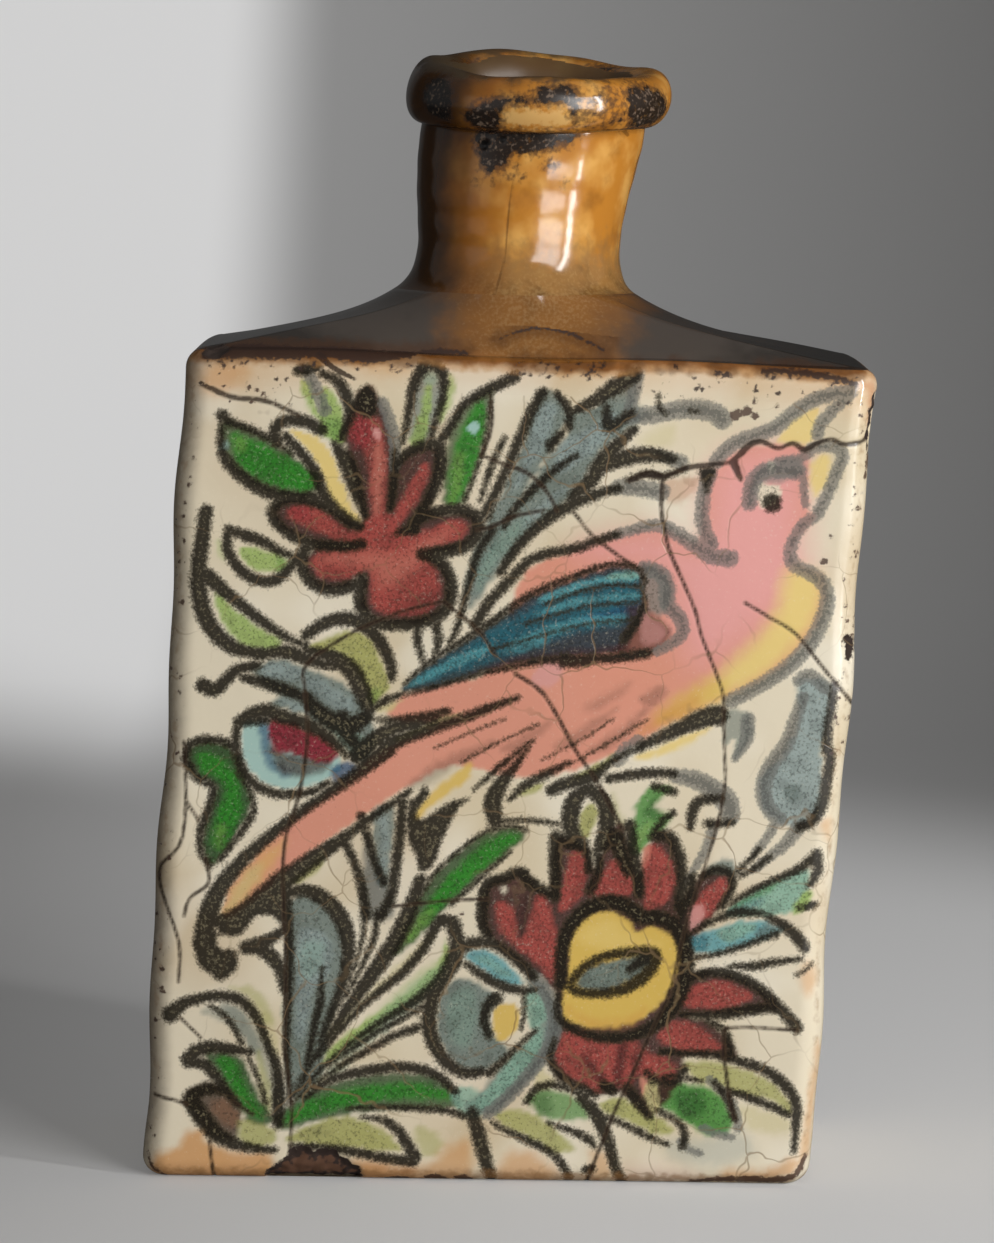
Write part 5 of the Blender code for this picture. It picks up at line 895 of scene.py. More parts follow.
# The glossy neck and rim, degrees round from the front (right is plus) and mm up: burns and hairlines
neckMarks = {"burnt": [
    [(-58, 166.5), (-50, 167.2), (-42, 166), (-39, 163), (-41, 161), (-48, 160.5), (-56, 161.5), (-60, 164)],
    [(-33, 162.2), (-24, 164.5), (-16, 165.4), (-3, 165.5), (-2, 166.9), (11, 167.3), (17, 165.8),
        (18, 162.3), (14, 162.2), (11, 164), (-3, 164.2), (-14, 163.7), (-15, 160), (-16, 158.8),
        (-26, 159.3), (-32, 160.8)],
    [(42, 165.8), (50, 166.6), (62, 166), (74, 164), (76, 161.5), (66, 159.8), (52, 159.6), (43, 161.5)],
    [(-30, 159.4), (-29, 155), (-25, 153), (-19, 152.8), (-12, 154), (-10, 155.5), (5, 156), (18, 157),
        (23, 158.2), (22, 159.4)],
    [(118, 166), (140, 167), (158, 165), (150, 162), (126, 162.4)],
    [(-150, 166), (-128, 166.8), (-112, 164), (-126, 162), (-146, 163)],
], "rubbed": [
    [(-16, 163), (-4, 163.8), (9, 163.6), (15, 161.6), (8, 160.3), (-8, 160.2), (-14, 161)],
], "cracks": [
    ((0.1, 0.14), [(-6.5, 154.5), (-7, 150), (-7.6, 145), (-8, 140), (-9, 136), (-10.5, 132)]),
    ((0.5, 0.3), [(46, 160.4), (54, 159.4), (62, 158.2)]),
    ((0.4, 0.2), [(150, 158), (160, 150), (156, 141), (164, 134)]),
], "pits": [
    (-27, 157, 0.9), (-17, 158, 0.6),
], "scattered": [
    (-32, 24, 151, 155, 12), (16, 44, 160.2, 166.4, 75),  # across from, to, up from, to, how many
]}
degree = math.pi / 180 * 17  # mm round the neck for one degree


def specksIn(areas, least, most):
    spots = []
    for low, high, bottom, top, count in areas:
        for _ in range(count):
            size = least + (most - least) * random.random() ** 3
            spots.append((random.uniform(low, high), random.uniform(bottom, top), size))
    return spots


def drawSpecks(spots, specks, field):
    for x, z, size in specks:
        near = np.nonzero(np.all(np.abs(spots - (x, z)) < brush["reach"], axis=1))[0]
        field[near] = np.minimum(field[near], np.linalg.norm(spots[near] - (x, z), axis=1) - size)
    return field


random.seed(11)
bodySpecks = ageing["specks"] + specksIn(ageing["scattered"], 0.08, 0.42)
neckSpecks = [(a * degree, z, size) for a, z, size in specksIn(neckMarks["scattered"], 0.12, 0.45)]

# The white slip under the glaze is uneven: colour, lump size in mm, where it starts and is full, strength
slip = [("#BFAA82", 15, -0.15, 0.55, 0.45), ("#B08F5E", 27, 0.05, 0.6, 0.4), ("#E6DECB", 9, 0.1, 0.6, 0.5)]
panel = {
    "front": -19, "unpainted": -60,  # mm: what lies behind the first is put far off the painting
    "chipRagged": 0.5, "crackRagged": 0.08,
    "thickInk": -1.2,  # a thick patch is no paler inside than a broad line
    "amberEdge": 123.3, "amberWave": 0.9,
    "scorchFrom": 121, "scorchFull": 123.4,  # brown round the burns, on the amber only
    "roofShiftToLight": 2, "roofShadeLeft": 1.3, "roofFront": 0.55,  # the roof's amber sits shifted toward the light, and its painted grey reflection and painted shade start sooner on the left than in front
    "offRoof": 60, "cornerWear": 1.2, "footWear": 1.6,
}


def paintBody(points):
    # distance in mm to each kind of mark, and the pigment, for every spot of a wall or the shoulder
    facing = points[:, 1] < panel["front"]
    spots = np.where(facing[:, None], points[:, [0, 2]] + (halfWidth, 0), panel["unpainted"])
    kinds = ("ink", "greyInk", "crack", "chip", "burn")
    fields = {name: np.full(len(points), brush["reach"]) for name in kinds}
    paint = np.tile(np.array(hexColour(pigments["ivory"])), (len(points), 1))
    for colour, lump, start, full, strength in slip:
        share = strength * smoothStep(start, full, clouds(points + lump, lump))[:, None]
        paint += (np.array(hexColour(colour)) - paint) * share
    paint[:, 3] = 0
    ragged = raggedness(points, 1.4, 0.6)
    for motif in motifs:
        paint = layWashes(spots, motif["washes"], ragged, paint)
        drawStrokes(spots, motif["ink"], fields["ink"])
        drawStrokes(spots, motif.get("grey", []), fields["greyInk"])
        drawShapes(spots, motif.get("inkShapes", []), fields["ink"])
    fields["pigment"] = -2 * paint[:, 3]
    paint = layWashes(spots, ageing["stains"], ragged, paint)
    drawStrokes(spots, ageing["cracks"], fields["crack"])
    drawStrokes(spots, ageing["burntEdges"], fields["burn"])
    drawSpecks(spots, bodySpecks, fields["burn"])
    drawShapes(spots, ageing["chips"], fields["chip"])
    fields["chip"] += ragged * panel["chipRagged"]
    fields["crack"] += ragged * panel["crackRagged"]
    fields["ink"] = np.maximum(fields["ink"], panel["thickInk"])
    wave = clouds(points * (1, 1, 0.2), 9) + 0.5 * clouds(points * (1, 1, 0.3), 3)
    x, y, z = points.T
    fields["scorch"] = fields["burn"] + 3 * smoothStep(panel["scorchFull"], panel["scorchFrom"], z)
    fields["amber"] = z - panel["amberEdge"] - panel["amberWave"] * wave
    # the roof's painted grey reflection and painted shade grow toward its corners, sooner on the left, away
    # from the light
    aside = x - neck["offset"] - panel["roofShiftToLight"]
    acrossRoof = np.where(aside < 0, panel["roofShadeLeft"], 1) * aside
    away = np.hypot(acrossRoof, np.where(y < 0, panel["roofFront"], 1) * y)
    onRoof = z > eaves - 0.3
    fields["fromNeck"] = np.where(onRoof, away, panel["offRoof"])
    fields["toCorner"] = np.where(onRoof, away, 0)
    inX = halfWidth - np.abs(x)
    inY = halfDepth - np.abs(y)
    foot = np.hypot(z, np.minimum(inY, inX)) - panel["footWear"]
    fields["edge"] = np.minimum(np.hypot(inX, inY) - panel["cornerWear"], foot)
    fields["paint"] = paint
    return fields


# mm for the neck's burns and for its painted shade in the crease under the rim and over the mouth
kilnAndShade = {
    "outside": 14, "rimCreaseShadeUp": 0.3, "rimCreaseShadeHalf": 0.1, "mouthShadeDown": 0.4, "thickBurn": -1, "burnRagged": 0.35,
}


def paintNeck(points):
    x, y, z = points.T
    turn = np.degrees(np.arctan2(x - neck["offset"], -y))
    spots = np.stack([turn * degree, z], axis=1)
    outside = np.hypot(x - neck["offset"], y) > kilnAndShade["outside"]
    spots[~outside] = -90  # far from every mark
    toArc = [degree, 1]
    fields = {name: np.full(len(points), brush["reach"]) for name in ("crack", "burn", "rub", "chip")}
    ragged = raggedness(points, 1.2, 0.5)
    fields["paint"] = np.tile(np.array(hexColour(pigments["honey"])), (len(points), 1))
    fields["low"] = z - seat
    # painted shade in the crease under the rim
    fields["crease"] = np.abs(z - neckTop - kilnAndShade["rimCreaseShadeUp"]) - kilnAndShade["rimCreaseShadeHalf"]
    # painted shade on the side away from the light
    fields["leftSide"] = x - neck["offset"]
    # painted shade over the lip and inside the mouth
    fields["mouth"] = np.where(outside, z - neckTop - rim["height"] + kilnAndShade["mouthShadeDown"], 3)
    for kind, field in (("rubbed", "rub"), ("burnt", "burn")):
        drawShapes(spots, [np.array(line) * toArc for line in neckMarks[kind]], fields[field])
    drawSpecks(spots, neckSpecks, fields["burn"])
    hairlines = [(width, np.array(line) * toArc) for width, line in neckMarks["cracks"]]
    drawStrokes(spots, hairlines, fields["crack"])
    fields["burn"] = np.maximum(fields["burn"], kilnAndShade["thickBurn"]) + ragged * kilnAndShade["burnRagged"]
    drawSpecks(spots, [(a * degree, up, size) for a, up, size in neckMarks["pits"]], fields["chip"])
    return fields


def bareClay(points):
    return {"paint": np.tile(np.array(hexColour(pigments["redClay"])), (len(points), 1))}


# Shapes: a grid is bent over the upright bottle and closed; then it is painted, aged and leant
merge = {"close": 0.002, "mirror": 0.005, "ledge": 0.01, "level": 0.01}  # mm that count as one place


def bendGrid(columns, rows, place):
    bm = bmesh.new()
    bmesh.ops.create_grid(bm, x_segments=columns, y_segments=rows, size=0.5)
    flat = np.array([v.co[:2] for v in bm.verts]) + 0.5
    for vert, spot in zip(bm.verts, place(flat[:, 0], flat[:, 1])):
        vert.co = spot
    return bm


def openEdges(bm, level=None):
    found = [e for e in bm.edges if e.is_boundary]
    if level is None:
        return found
    return [e for e in found if all(abs(v.co.z - level) < merge["level"] for v in e.verts)]


def pullOut(bm, edges):
    made = bmesh.ops.extrude_edge_only(bm, edges=edges)["geom"]
    return [g for g in made if isinstance(g, bmesh.types.BMVert)]


def drawToBore(verts):
    for vert in verts:
        away = Vector((vert.co.x - neck["offset"], vert.co.y)).normalized() * neck["bore"]
        vert.co.x = neck["offset"] + away.x
        vert.co.y = away.y


def roundOutline(along, inset):
    # walked from the middle of the front, round a corner and on along the side
    walked = np.abs(along)
    turn = np.clip((walked - straight) / cornerArc, 0, 1) * math.pi / 2
    radius = body["corner"] - inset
    x = np.sign(along) * (np.minimum(walked, straight) + radius * np.sin(turn))
    past = np.maximum(walked - straight - cornerArc, 0)
    return x, body["corner"] - halfDepth - radius * np.cos(turn) + past


def footRise(share):
    # up a wall from its rounded foot: how far in, and how high
    quarter = body["foot"] * math.pi / 2
    walked = share * (body["wallTop"] - body["foot"] + quarter)
    turn = np.minimum(walked / body["foot"], math.pi / 2)
    height = body["foot"] * (1 - np.cos(turn)) + np.maximum(walked - quarter, 0)
    return body["foot"] * (1 - np.sin(turn)), height


def curve(start, pull, push, end, t):
    return start * (1 - t)**3 + 3 * pull * t * (1 - t)**2 + 3 * push * t**2 * (1 - t) + end * t**3


def broadWall(columns, rows):
    reach = straight + cornerArc + halfDepth - body["corner"] - body["inside"]

    def place(across, up):
        inset, z = footRise(up)
        x, y = roundOutline((across * 2 - 1) * reach, inset)
        return np.stack([x, y, z], axis=1)

    bm = bendGrid(columns, rows, place)
    for level in (0, body["wallTop"]):
        bmesh.ops.contextual_create(bm, geom=openEdges(bm, level))
    bmesh.ops.holes_fill(bm, edges=openEdges(bm), sides=0)
    return bm


def narrowWall(side, columns, rows):
    def place(across, up):
        inset, z = footRise(up)
        return np.stack([side * (halfWidth - inset), (across * 2 - 1) * body["inside"], z], axis=1)

    bm = bendGrid(columns, rows, place)
    for vert in pullOut(bm, openEdges(bm)):
        vert.co.x = side * body["insideX"]
    bmesh.ops.holes_fill(bm, edges=openEdges(bm), sides=0)
    return bm


def floorSlab(columns, rows):
    # its underside is a little hollow, as a slab that dried on a board
    def place(across, up):
        x = (across * 2 - 1) * body["insideX"]
        y = (up * 2 - 1) * body["inside"]
        hollow = body["hollow"] * np.sin(across * math.pi) * np.sin(up * math.pi)
        return np.stack([x, y, hollow * (1 + 0.4 * np.sin(x / 5) * np.sin(y / 4))], axis=1)

    bm = bendGrid(columns, rows, place)
    for vert in pullOut(bm, openEdges(bm)):
        vert.co.z = body["floorTop"]
    bmesh.ops.holes_fill(bm, edges=openEdges(bm), sides=0)
    return bm


def roofSpan(angle):
    # from the eaves to the neck's seat, in one direction round the neck
    square = np.maximum(np.abs(np.cos(angle)), np.abs(np.sin(angle)))
    eavesX = (halfWidth - shoulder["round"]) * np.cos(angle) / square
    eavesY = (halfDepth - shoulder["round"]) * np.sin(angle) / square
    spanX = eavesX - neck["offset"] - neck["foot"] * np.cos(angle)
    return np.hypot(spanX, eavesY - neck["foot"] * np.sin(angle))


def hippedShoulder(columns, edgeRows, roofRows):
    reach = straight + cornerArc + halfDepth - body["corner"]
    quarter = shoulder["round"] * math.pi / 2
    edgeShare = edgeRows / (edgeRows + roofRows)

    def place(across, up):
        walked = np.minimum(up / edgeShare, 1) * (shoulder["edge"] + quarter)
        turn = np.clip((walked - shoulder["edge"]) / shoulder["round"], 0, math.pi / 2)
        x, y = roundOutline((across * 2 - 1) * reach, shoulder["round"] * (1 - np.cos(turn)))
        z = body["wallTop"] + np.minimum(walked, shoulder["edge"]) + shoulder["round"] * np.sin(turn)
        climb = np.clip((up - edgeShare) / (1 - edgeShare), 0, 1)
        angle = np.arctan2(y / (halfDepth - shoulder["round"]), x / (halfWidth - shoulder["round"]))
        x = x + (neck["offset"] + neck["foot"] * np.cos(angle) - x) * climb
        y = y + (neck["foot"] * np.sin(angle) - y) * climb
        share = shoulder["straightShare"]
        z = z + shoulder["rise"] * (share * climb + (1 - share) * climb ** shoulder["sweepPower"])
        return np.stack([x, y, z], axis=1)

    bm = bendGrid(columns, edgeRows + roofRows, place)
    whole = bm.verts[:] + bm.edges[:] + bm.faces[:]
    bmesh.ops.mirror(bm, geom=whole, matrix=Matrix.Identity(4), axis="Y", merge_dist=merge["mirror"])
    bmesh.ops.remove_doubles(bm, verts=bm.verts, dist=merge["close"])
    drawToBore(pullOut(bm, openEdges(bm, seat)))
    for vert in pullOut(bm, openEdges(bm, seat)):
        vert.co.z -= shoulder["thick"]
    ledge = pullOut(bm, openEdges(bm, body["wallTop"]))
    for vert in ledge:
        vert.co.x = max(-body["insideX"], min(body["insideX"], vert.co.x))
        vert.co.y = max(-body["inside"], min(body["inside"], vert.co.y))
    bmesh.ops.remove_doubles(bm, verts=ledge, dist=merge["ledge"])
    bmesh.ops.bridge_loops(bm, edges=openEdges(bm))
    return bm


def trumpetNeck(columns, rows):
    flareShare = neck["flareShare"]
    slope = shoulder["straightShare"] + (1 - shoulder["straightShare"]) * shoulder["sweepPower"]

    def place(across, up):
        turn = across * 2 * math.pi
        rise = np.arctan2(shoulder["rise"] * slope, roofSpan(turn))  # carries on from the roof's slope
        low = np.clip(up / flareShare, 0, 1)
        high = np.clip((up - flareShare) / (1 - flareShare), 0, 1)
        waistZ = seat + neck["waistUp"]
        pull = neck["flarePull"]
        ease = neck["waistPull"]
        flareR = curve(neck["foot"], neck["foot"] - pull * np.cos(rise), neck["waist"], neck["waist"], low)
        flareZ = curve(seat, seat + pull * np.sin(rise), waistZ - ease, waistZ, low)
        top = neck["top"] - neck["frontTuck"] * smoothStep(0.1, -0.9, np.sin(turn))
        swellR = curve(neck["waist"], neck["waist"], top, top, high)
        swellZ = curve(waistZ, waistZ + ease, neckTop - ease, neckTop, high)
        radius = np.where(up < flareShare, flareR, swellR)
        z = np.where(up < flareShare, flareZ, swellZ)
        free = smoothStep(0, 0.25, up) * smoothStep(1, 0.85, up)
        thrown = neck["oval"] * np.sin(2 * turn + 0.7) + neck["rings"] * np.sin(z * 1.3 + turn)
        radius = radius + free * thrown
        return np.stack([neck["offset"] + radius * np.cos(turn), radius * np.sin(turn), z], axis=1)

    bm = bendGrid(columns, rows, place)
    bmesh.ops.remove_doubles(bm, verts=bm.verts, dist=merge["close"])
    for level in (seat, neckTop):
        drawToBore(pullOut(bm, openEdges(bm, level)))
    bmesh.ops.bridge_loops(bm, edges=openEdges(bm))
    return bm


def rolledRim(columns, rows):
    # out round the roll, over the lip, down the mouth and back under
    def place(across, up):
        turn = across * 2 * math.pi
        walked = []
        start = 0
        for share in rim["shares"]:
            walked.append(np.clip((up - start) / share, 0, 1))
            start += share
        roll = walked[0] * math.pi - math.pi / 2
        lip = walked[1] * math.pi / 2
        down = walked[2]
        under = walked[3]
        lipWidth = neck["top"] - rim["mouth"]
        radius = neck["top"] + (rim["radius"] - neck["top"]) * np.cos(roll)
        radius = radius - lipWidth * np.sin(lip) + lipWidth * under
        z = neckTop + rim["height"] * (1 + np.sin(roll)) / 2 - rim["lipDepth"] * (1 - np.cos(lip))
        z = z - (rim["height"] - rim["lipDepth"]) * down
        share = (z - neckTop) / rim["height"]
        lumps = sum(high * np.sin(many * turn + begin) for high, many, begin in rim["lumps"])
        radius = radius + share * lumps
        waves = sum(high * np.sin(many * turn + begin) for high, many, begin in rim["waves"])
        z = z + share * (waves - rim["tilt"] * np.cos(turn))
        return np.stack([neck["offset"] + radius * np.cos(turn), radius * np.sin(turn), z], axis=1)

    return bendGrid(columns, rows, place)


wear = {
    "crackDepth": 0.08, "crackSides": (0.3, -0.1), "chipDepth": 0.55, "chipSides": (0.3, -0.9),  # mm
    "chipGrain": 0.9, "calmSeam": (0.1, 0.8), "sharp": 42,  # the last in degrees
}


def finishPiece(name, bm, material, paint):
    bmesh.ops.remove_doubles(bm, verts=bm.verts, dist=merge["close"])
    bmesh.ops.recalc_face_normals(bm, faces=bm.faces)
    mesh = bpy.data.meshes.new(name)
    bm.to_mesh(mesh)
    bm.free()
    flat = np.empty(len(mesh.vertices) * 3, np.float32)
    mesh.vertices.foreach_get("co", flat)
    points = flat.reshape(-1, 3).astype(float)
    mesh.vertex_normals.foreach_get("vector", flat)
    outward = flat.reshape(-1, 3).copy()
    fields = paint(points)
    for field, values in fields.items():
        kind = "FLOAT_COLOR" if values.ndim == 2 else "FLOAT"
        data = mesh.attributes.new(field, kind, "POINT").data
        data.foreach_set("color" if values.ndim == 2 else "value", values.astype(np.float32).ravel())
    depth = 0.0
    if "crack" in fields:
        depth = wear["crackDepth"] * smoothStep(*wear["crackSides"], fields["crack"])
    if "chip" in fields:
        grit = 1 + 0.5 * clouds(points, wear["chipGrain"])
        depth = depth + wear["chipDepth"] * smoothStep(*wear["chipSides"], fields["chip"]) * grit
    seams = np.minimum(np.abs(points[:, 2] - body["wallTop"]), np.abs(points[:, 2] - neckTop))
    points = points - outward * (depth * smoothStep(*wear["calmSeam"], seams))[:, None]
    mesh.vertices.foreach_set("co", (handMade(settle(points)) * mm).astype(np.float32).ravel())
    mesh.update()
    mesh.shade_smooth()
    mesh.set_sharp_from_angle(angle=math.radians(wear["sharp"]))
    mesh.materials.append(material)
    piece = bpy.data.objects.new(name, mesh)
    bpy.context.collection.objects.link(piece)
    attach(piece, "root")
    print("made", name, len(mesh.polygons), "faces")
    return piece


# Finishes: a glaze is a stack of coats, each with its colour, grain in mm, where it covers and how strongly
def addNode(tree, kind, inputs, out=0, **settings):
    node = tree.nodes.new("ShaderNode" + kind)
    for name, value in settings.items():
        setattr(node, name, value)
    for key, value in inputs.items():
        if isinstance(value, bpy.types.NodeSocket):
            tree.links.new(value, node.inputs[key])
        else:
            node.inputs[key].default_value = value
    return node.outputs[out]


def brushCoat(tree, below, coat):
    # a coat lies where its grain, or a painted distance broken up by that grain, passes between two levels
    place = addNode(tree, "TexCoord", {}, out="Object")
    shift = addNode(tree, "VectorMath", {0: place, 1: (coat.get("seed", 0) * 0.37,) * 3})
    grain = {"Vector": shift, "Scale": 1 / (coat["grain"] * mm), "Detail": coat.get("detail", 3)}
    level = addNode(tree, "TexNoise", grain)
    start, full = coat["covers"]
    if "field" in coat:
        away = addNode(tree, "Attribute", {}, out="Fac", attribute_name=coat["field"])
        level = addNode(tree, "Math", {0: level, 1: coat["ragged"], 2: away}, operation="MULTIPLY_ADD")
        start += coat["ragged"] / 2
        full += coat["ragged"] / 2
    spread = {"Value": level, "From Min": start, "From Max": full, "To Max": coat["strength"]}
    cover = addNode(tree, "MapRange", spread, interpolation_type="SMOOTHSTEP")
    laid = {0: cover, 6: below, 7: hexColour(coat["colour"])}
    return addNode(tree, "Mix", laid, out=2, data_type="RGBA"), cover


def fireGlaze(name, coats, crackle, surface):
    # lays the coats on the painted colour, then the crackle, and sets gloss and ripple
    material = bpy.data.materials.new(name)
    material.use_nodes = True
    tree = material.node_tree
    shader = tree.nodes["Principled BSDF"]
    place = addNode(tree, "TexCoord", {}, out="Object")
    colour = addNode(tree, "Attribute", {}, out="Color", attribute_name="paint")
    dry = None
    for coat in coats:
        colour, cover = brushCoat(tree, colour, coat)
        if "dry" in coat:
            dull = addNode(tree, "Math", {0: cover, 1: coat["dry"]}, operation="MULTIPLY")
            dry = dull if dry is None else addNode(tree, "Math", {0: dry, 1: dull}, operation="MAXIMUM")
    ripple = addNode(tree, "TexNoise", {"Vector": place, "Scale": 1 / (surface["ripple"] * mm), "Detail": 2})
    if crackle:
        waver = {"Vector": place, "Scale": 1 / (crackle["cell"] * mm / 2)}
        bent = addNode(tree, "TexNoise", waver, out="Color")
        warp = {0: bent, 1: (crackle["bend"] * mm,) * 3, 2: place}
        warped = addNode(tree, "VectorMath", warp, operation="MULTIPLY_ADD")
        cell = {"Vector": warped, "Scale": 1 / (crackle["cell"] * mm)}
        cells = addNode(tree, "TexVoronoi", cell, out="Distance", feature="DISTANCE_TO_EDGE")
        half = crackle["width"] / crackle["cell"] / 2
        net = addNode(tree, "MapRange", {"Value": cells, "From Min": half * 2, "From Max": half / 2})
        patch = {"Vector": place, "Scale": 1 / (crackle["patch"] * mm), "Detail": 2}
        patchy = addNode(tree, "TexNoise", patch)
        start, full = crackle["stained"]
        stain = {"Value": patchy, "From Min": start, "From Max": full, "To Max": crackle["strength"]}
        stained = addNode(tree, "MapRange", stain, interpolation_type="SMOOTHSTEP")
        lines = addNode(tree, "Math", {0: net, 1: stained}, operation="MULTIPLY")
        brown = {0: lines, 6: colour, 7: hexColour(crackle["colour"])}
        colour = addNode(tree, "Mix", brown, out=2, data_type="RGBA")
        sunk = {0: lines, 1: -crackle["groove"], 2: ripple}
        ripple = addNode(tree, "Math", sunk, operation="MULTIPLY_ADD")
    tree.links.new(colour, shader.inputs["Base Color"])
    gloss = {"Value": dry, "To Min": surface["gloss"], "To Max": surface["dry"]}
    tree.links.new(addNode(tree, "MapRange", gloss), shader.inputs["Roughness"])
    bump = {"Height": ripple, "Strength": surface["rippleStrength"], "Distance": surface["rippleDepth"] * mm}
    tree.links.new(addNode(tree, "Bump", bump), shader.inputs["Normal"])
    shader.inputs["IOR"].default_value = surface["ior"]
    return material


# White slip under clear lead glaze, fired until it crackled: soft sheen, fine brown net, grainy brush lines
brushCoats = [
    dict(colour="#E2D8C4", grain=0.45, covers=(0.6, 0.76), strength=0.2, seed=1),  # pinholes
    dict(colour="#1F1C16", field="pigment", grain=0.42, ragged=3.4, covers=(-1.8, -2.6), strength=0.5,
         seed=7, detail=2),  # dark grains in the pigment
    dict(colour="#E4DCC4", field="pigment", grain=0.5, ragged=3.6, covers=(-2.2, -3), strength=0.18, seed=5),
    dict(colour="#2B271F", field="pigment", grain=2.6, ragged=3, covers=(-1.7, -2.7), strength=0.3, seed=9),
    dict(colour="#6C6C66", field="greyInk", grain=0.45, ragged=1.1, covers=(0.25, -0.3), strength=0.75),
    dict(colour="#4C4C48", field="greyInk", grain=0.42, ragged=3, covers=(-0.4, -1.2), strength=0.6, seed=2,
         detail=2),
    dict(colour="#342D1C", field="ink", grain=0.4, ragged=1.5, covers=(0.32, -0.35), strength=0.74,
         detail=2),
    dict(colour="#1B160D", field="ink", grain=0.45, ragged=1.6, covers=(-0.05, -0.65), strength=0.87, seed=4,
         detail=2),
    dict(colour="#857B5F", field="ink", grain=0.42, ragged=3.4, covers=(-1.05, -1.9), strength=0.55, seed=8,
         detail=2),
    dict(colour="#8A6238", field="edge", grain=1.6, ragged=2.6, covers=(0.7, -0.6), strength=0.65, detail=5),
    dict(colour="#4B2E1B", field="edge", grain=1.1, ragged=4, covers=(-0.9, -1.7), strength=0.9, dry=0.6,
         seed=5, detail=5),
]
ivoryCoats = brushCoats + [
    dict(colour="#4A3826", field="crack", grain=0.8, ragged=0.15, covers=(0.45, 0.1), strength=0.5),
    dict(colour="#231913", field="crack", grain=0.6, ragged=0.3, covers=(0.24, -0.04), strength=0.78),
    dict(colour="#43281A", field="burn", grain=0.6, ragged=1.2, covers=(0.15, -0.2), strength=0.9, dry=0.5),
    dict(colour="#2A1B13", field="chip", grain=0.7, ragged=1.4, covers=(0.2, -0.2), strength=1, dry=1),
    dict(colour="#5A3B27", field="chip", grain=1.1, ragged=3.4, covers=(-1.1, -1.7), strength=0.85, seed=6),
]
crackleNet = {
    "colour": "#7C6547", "cell": 12, "bend": 5, "width": 0.19, "patch": 16, "strength": 0.62,
    "stained": (0.38, 0.68), "groove": 0.6,
}
ivorySurface = dict(gloss=0.24, dry=0.85, ripple=3.2, rippleStrength=0.35, rippleDepth=0.2, ior=1.5)
ivoryGlaze = fireGlaze("ivory crackle glaze", ivoryCoats, crackleNet, ivorySurface)

# Amber lead glaze brushed over the shoulder: a wet gloss, brown where it pooled, thin along the front edge,
# with painted reflection and painted shade toward the roof's corners
amberCoats = brushCoats + [
    dict(colour="#B4824C", field="amber", grain=1.5, ragged=1.4, covers=(-1.3, -0.1), strength=0.65),
    dict(colour="#8E5A28", field="amber", grain=2.2, ragged=1.6, covers=(-0.4, 0.7), strength=0.97),
    dict(colour="#4A3116", field="amber", grain=2.6, ragged=5, covers=(0.9, 2.4), strength=0.5, seed=6),
    # painted reflection of the grey backdrop, then painted shade, toward the roof's corners
    dict(colour="#45403B", field="toCorner", grain=6, ragged=12, covers=(11, 22), strength=0.95),
    dict(colour="#1E1A16", field="toCorner", grain=9, ragged=40, covers=(30, 44), strength=0.7, seed=5),
    dict(colour="#85592A", field="fromNeck", grain=2.4, ragged=9, covers=(21, 10), strength=0.85, seed=2),
    dict(colour="#563A1B", field="fromNeck", grain=5, ragged=24, covers=(12, 2), strength=0.6, seed=4,
         detail=5),
    dict(colour="#A8895F", field="fromNeck", grain=0.5, ragged=30, covers=(15, 4), strength=0.28, seed=3),
    dict(colour="#2B1F16", field="crack", grain=0.6, ragged=0.3, covers=(0.2, -0.05), strength=0.9),
    dict(colour="#4A2A10", field="scorch", grain=1.4, ragged=2.4, covers=(2, 0.2), strength=0.5, seed=2),
    dict(colour="#2E1A10", field="burn", grain=0.6, ragged=1.2, covers=(0.15, -0.2), strength=0.92, dry=0.5),
    dict(colour="#2C1C12", field="chip", grain=0.7, ragged=0.7, covers=(0.15, -0.15), strength=1, dry=1),
]
amberSurface = dict(gloss=0.1, dry=0.8, ripple=7, rippleStrength=0.15, rippleDepth=0.25, ior=1.6)
shoulderGlaze = fireGlaze("amber lead glaze over ivory", amberCoats, None, amberSurface)

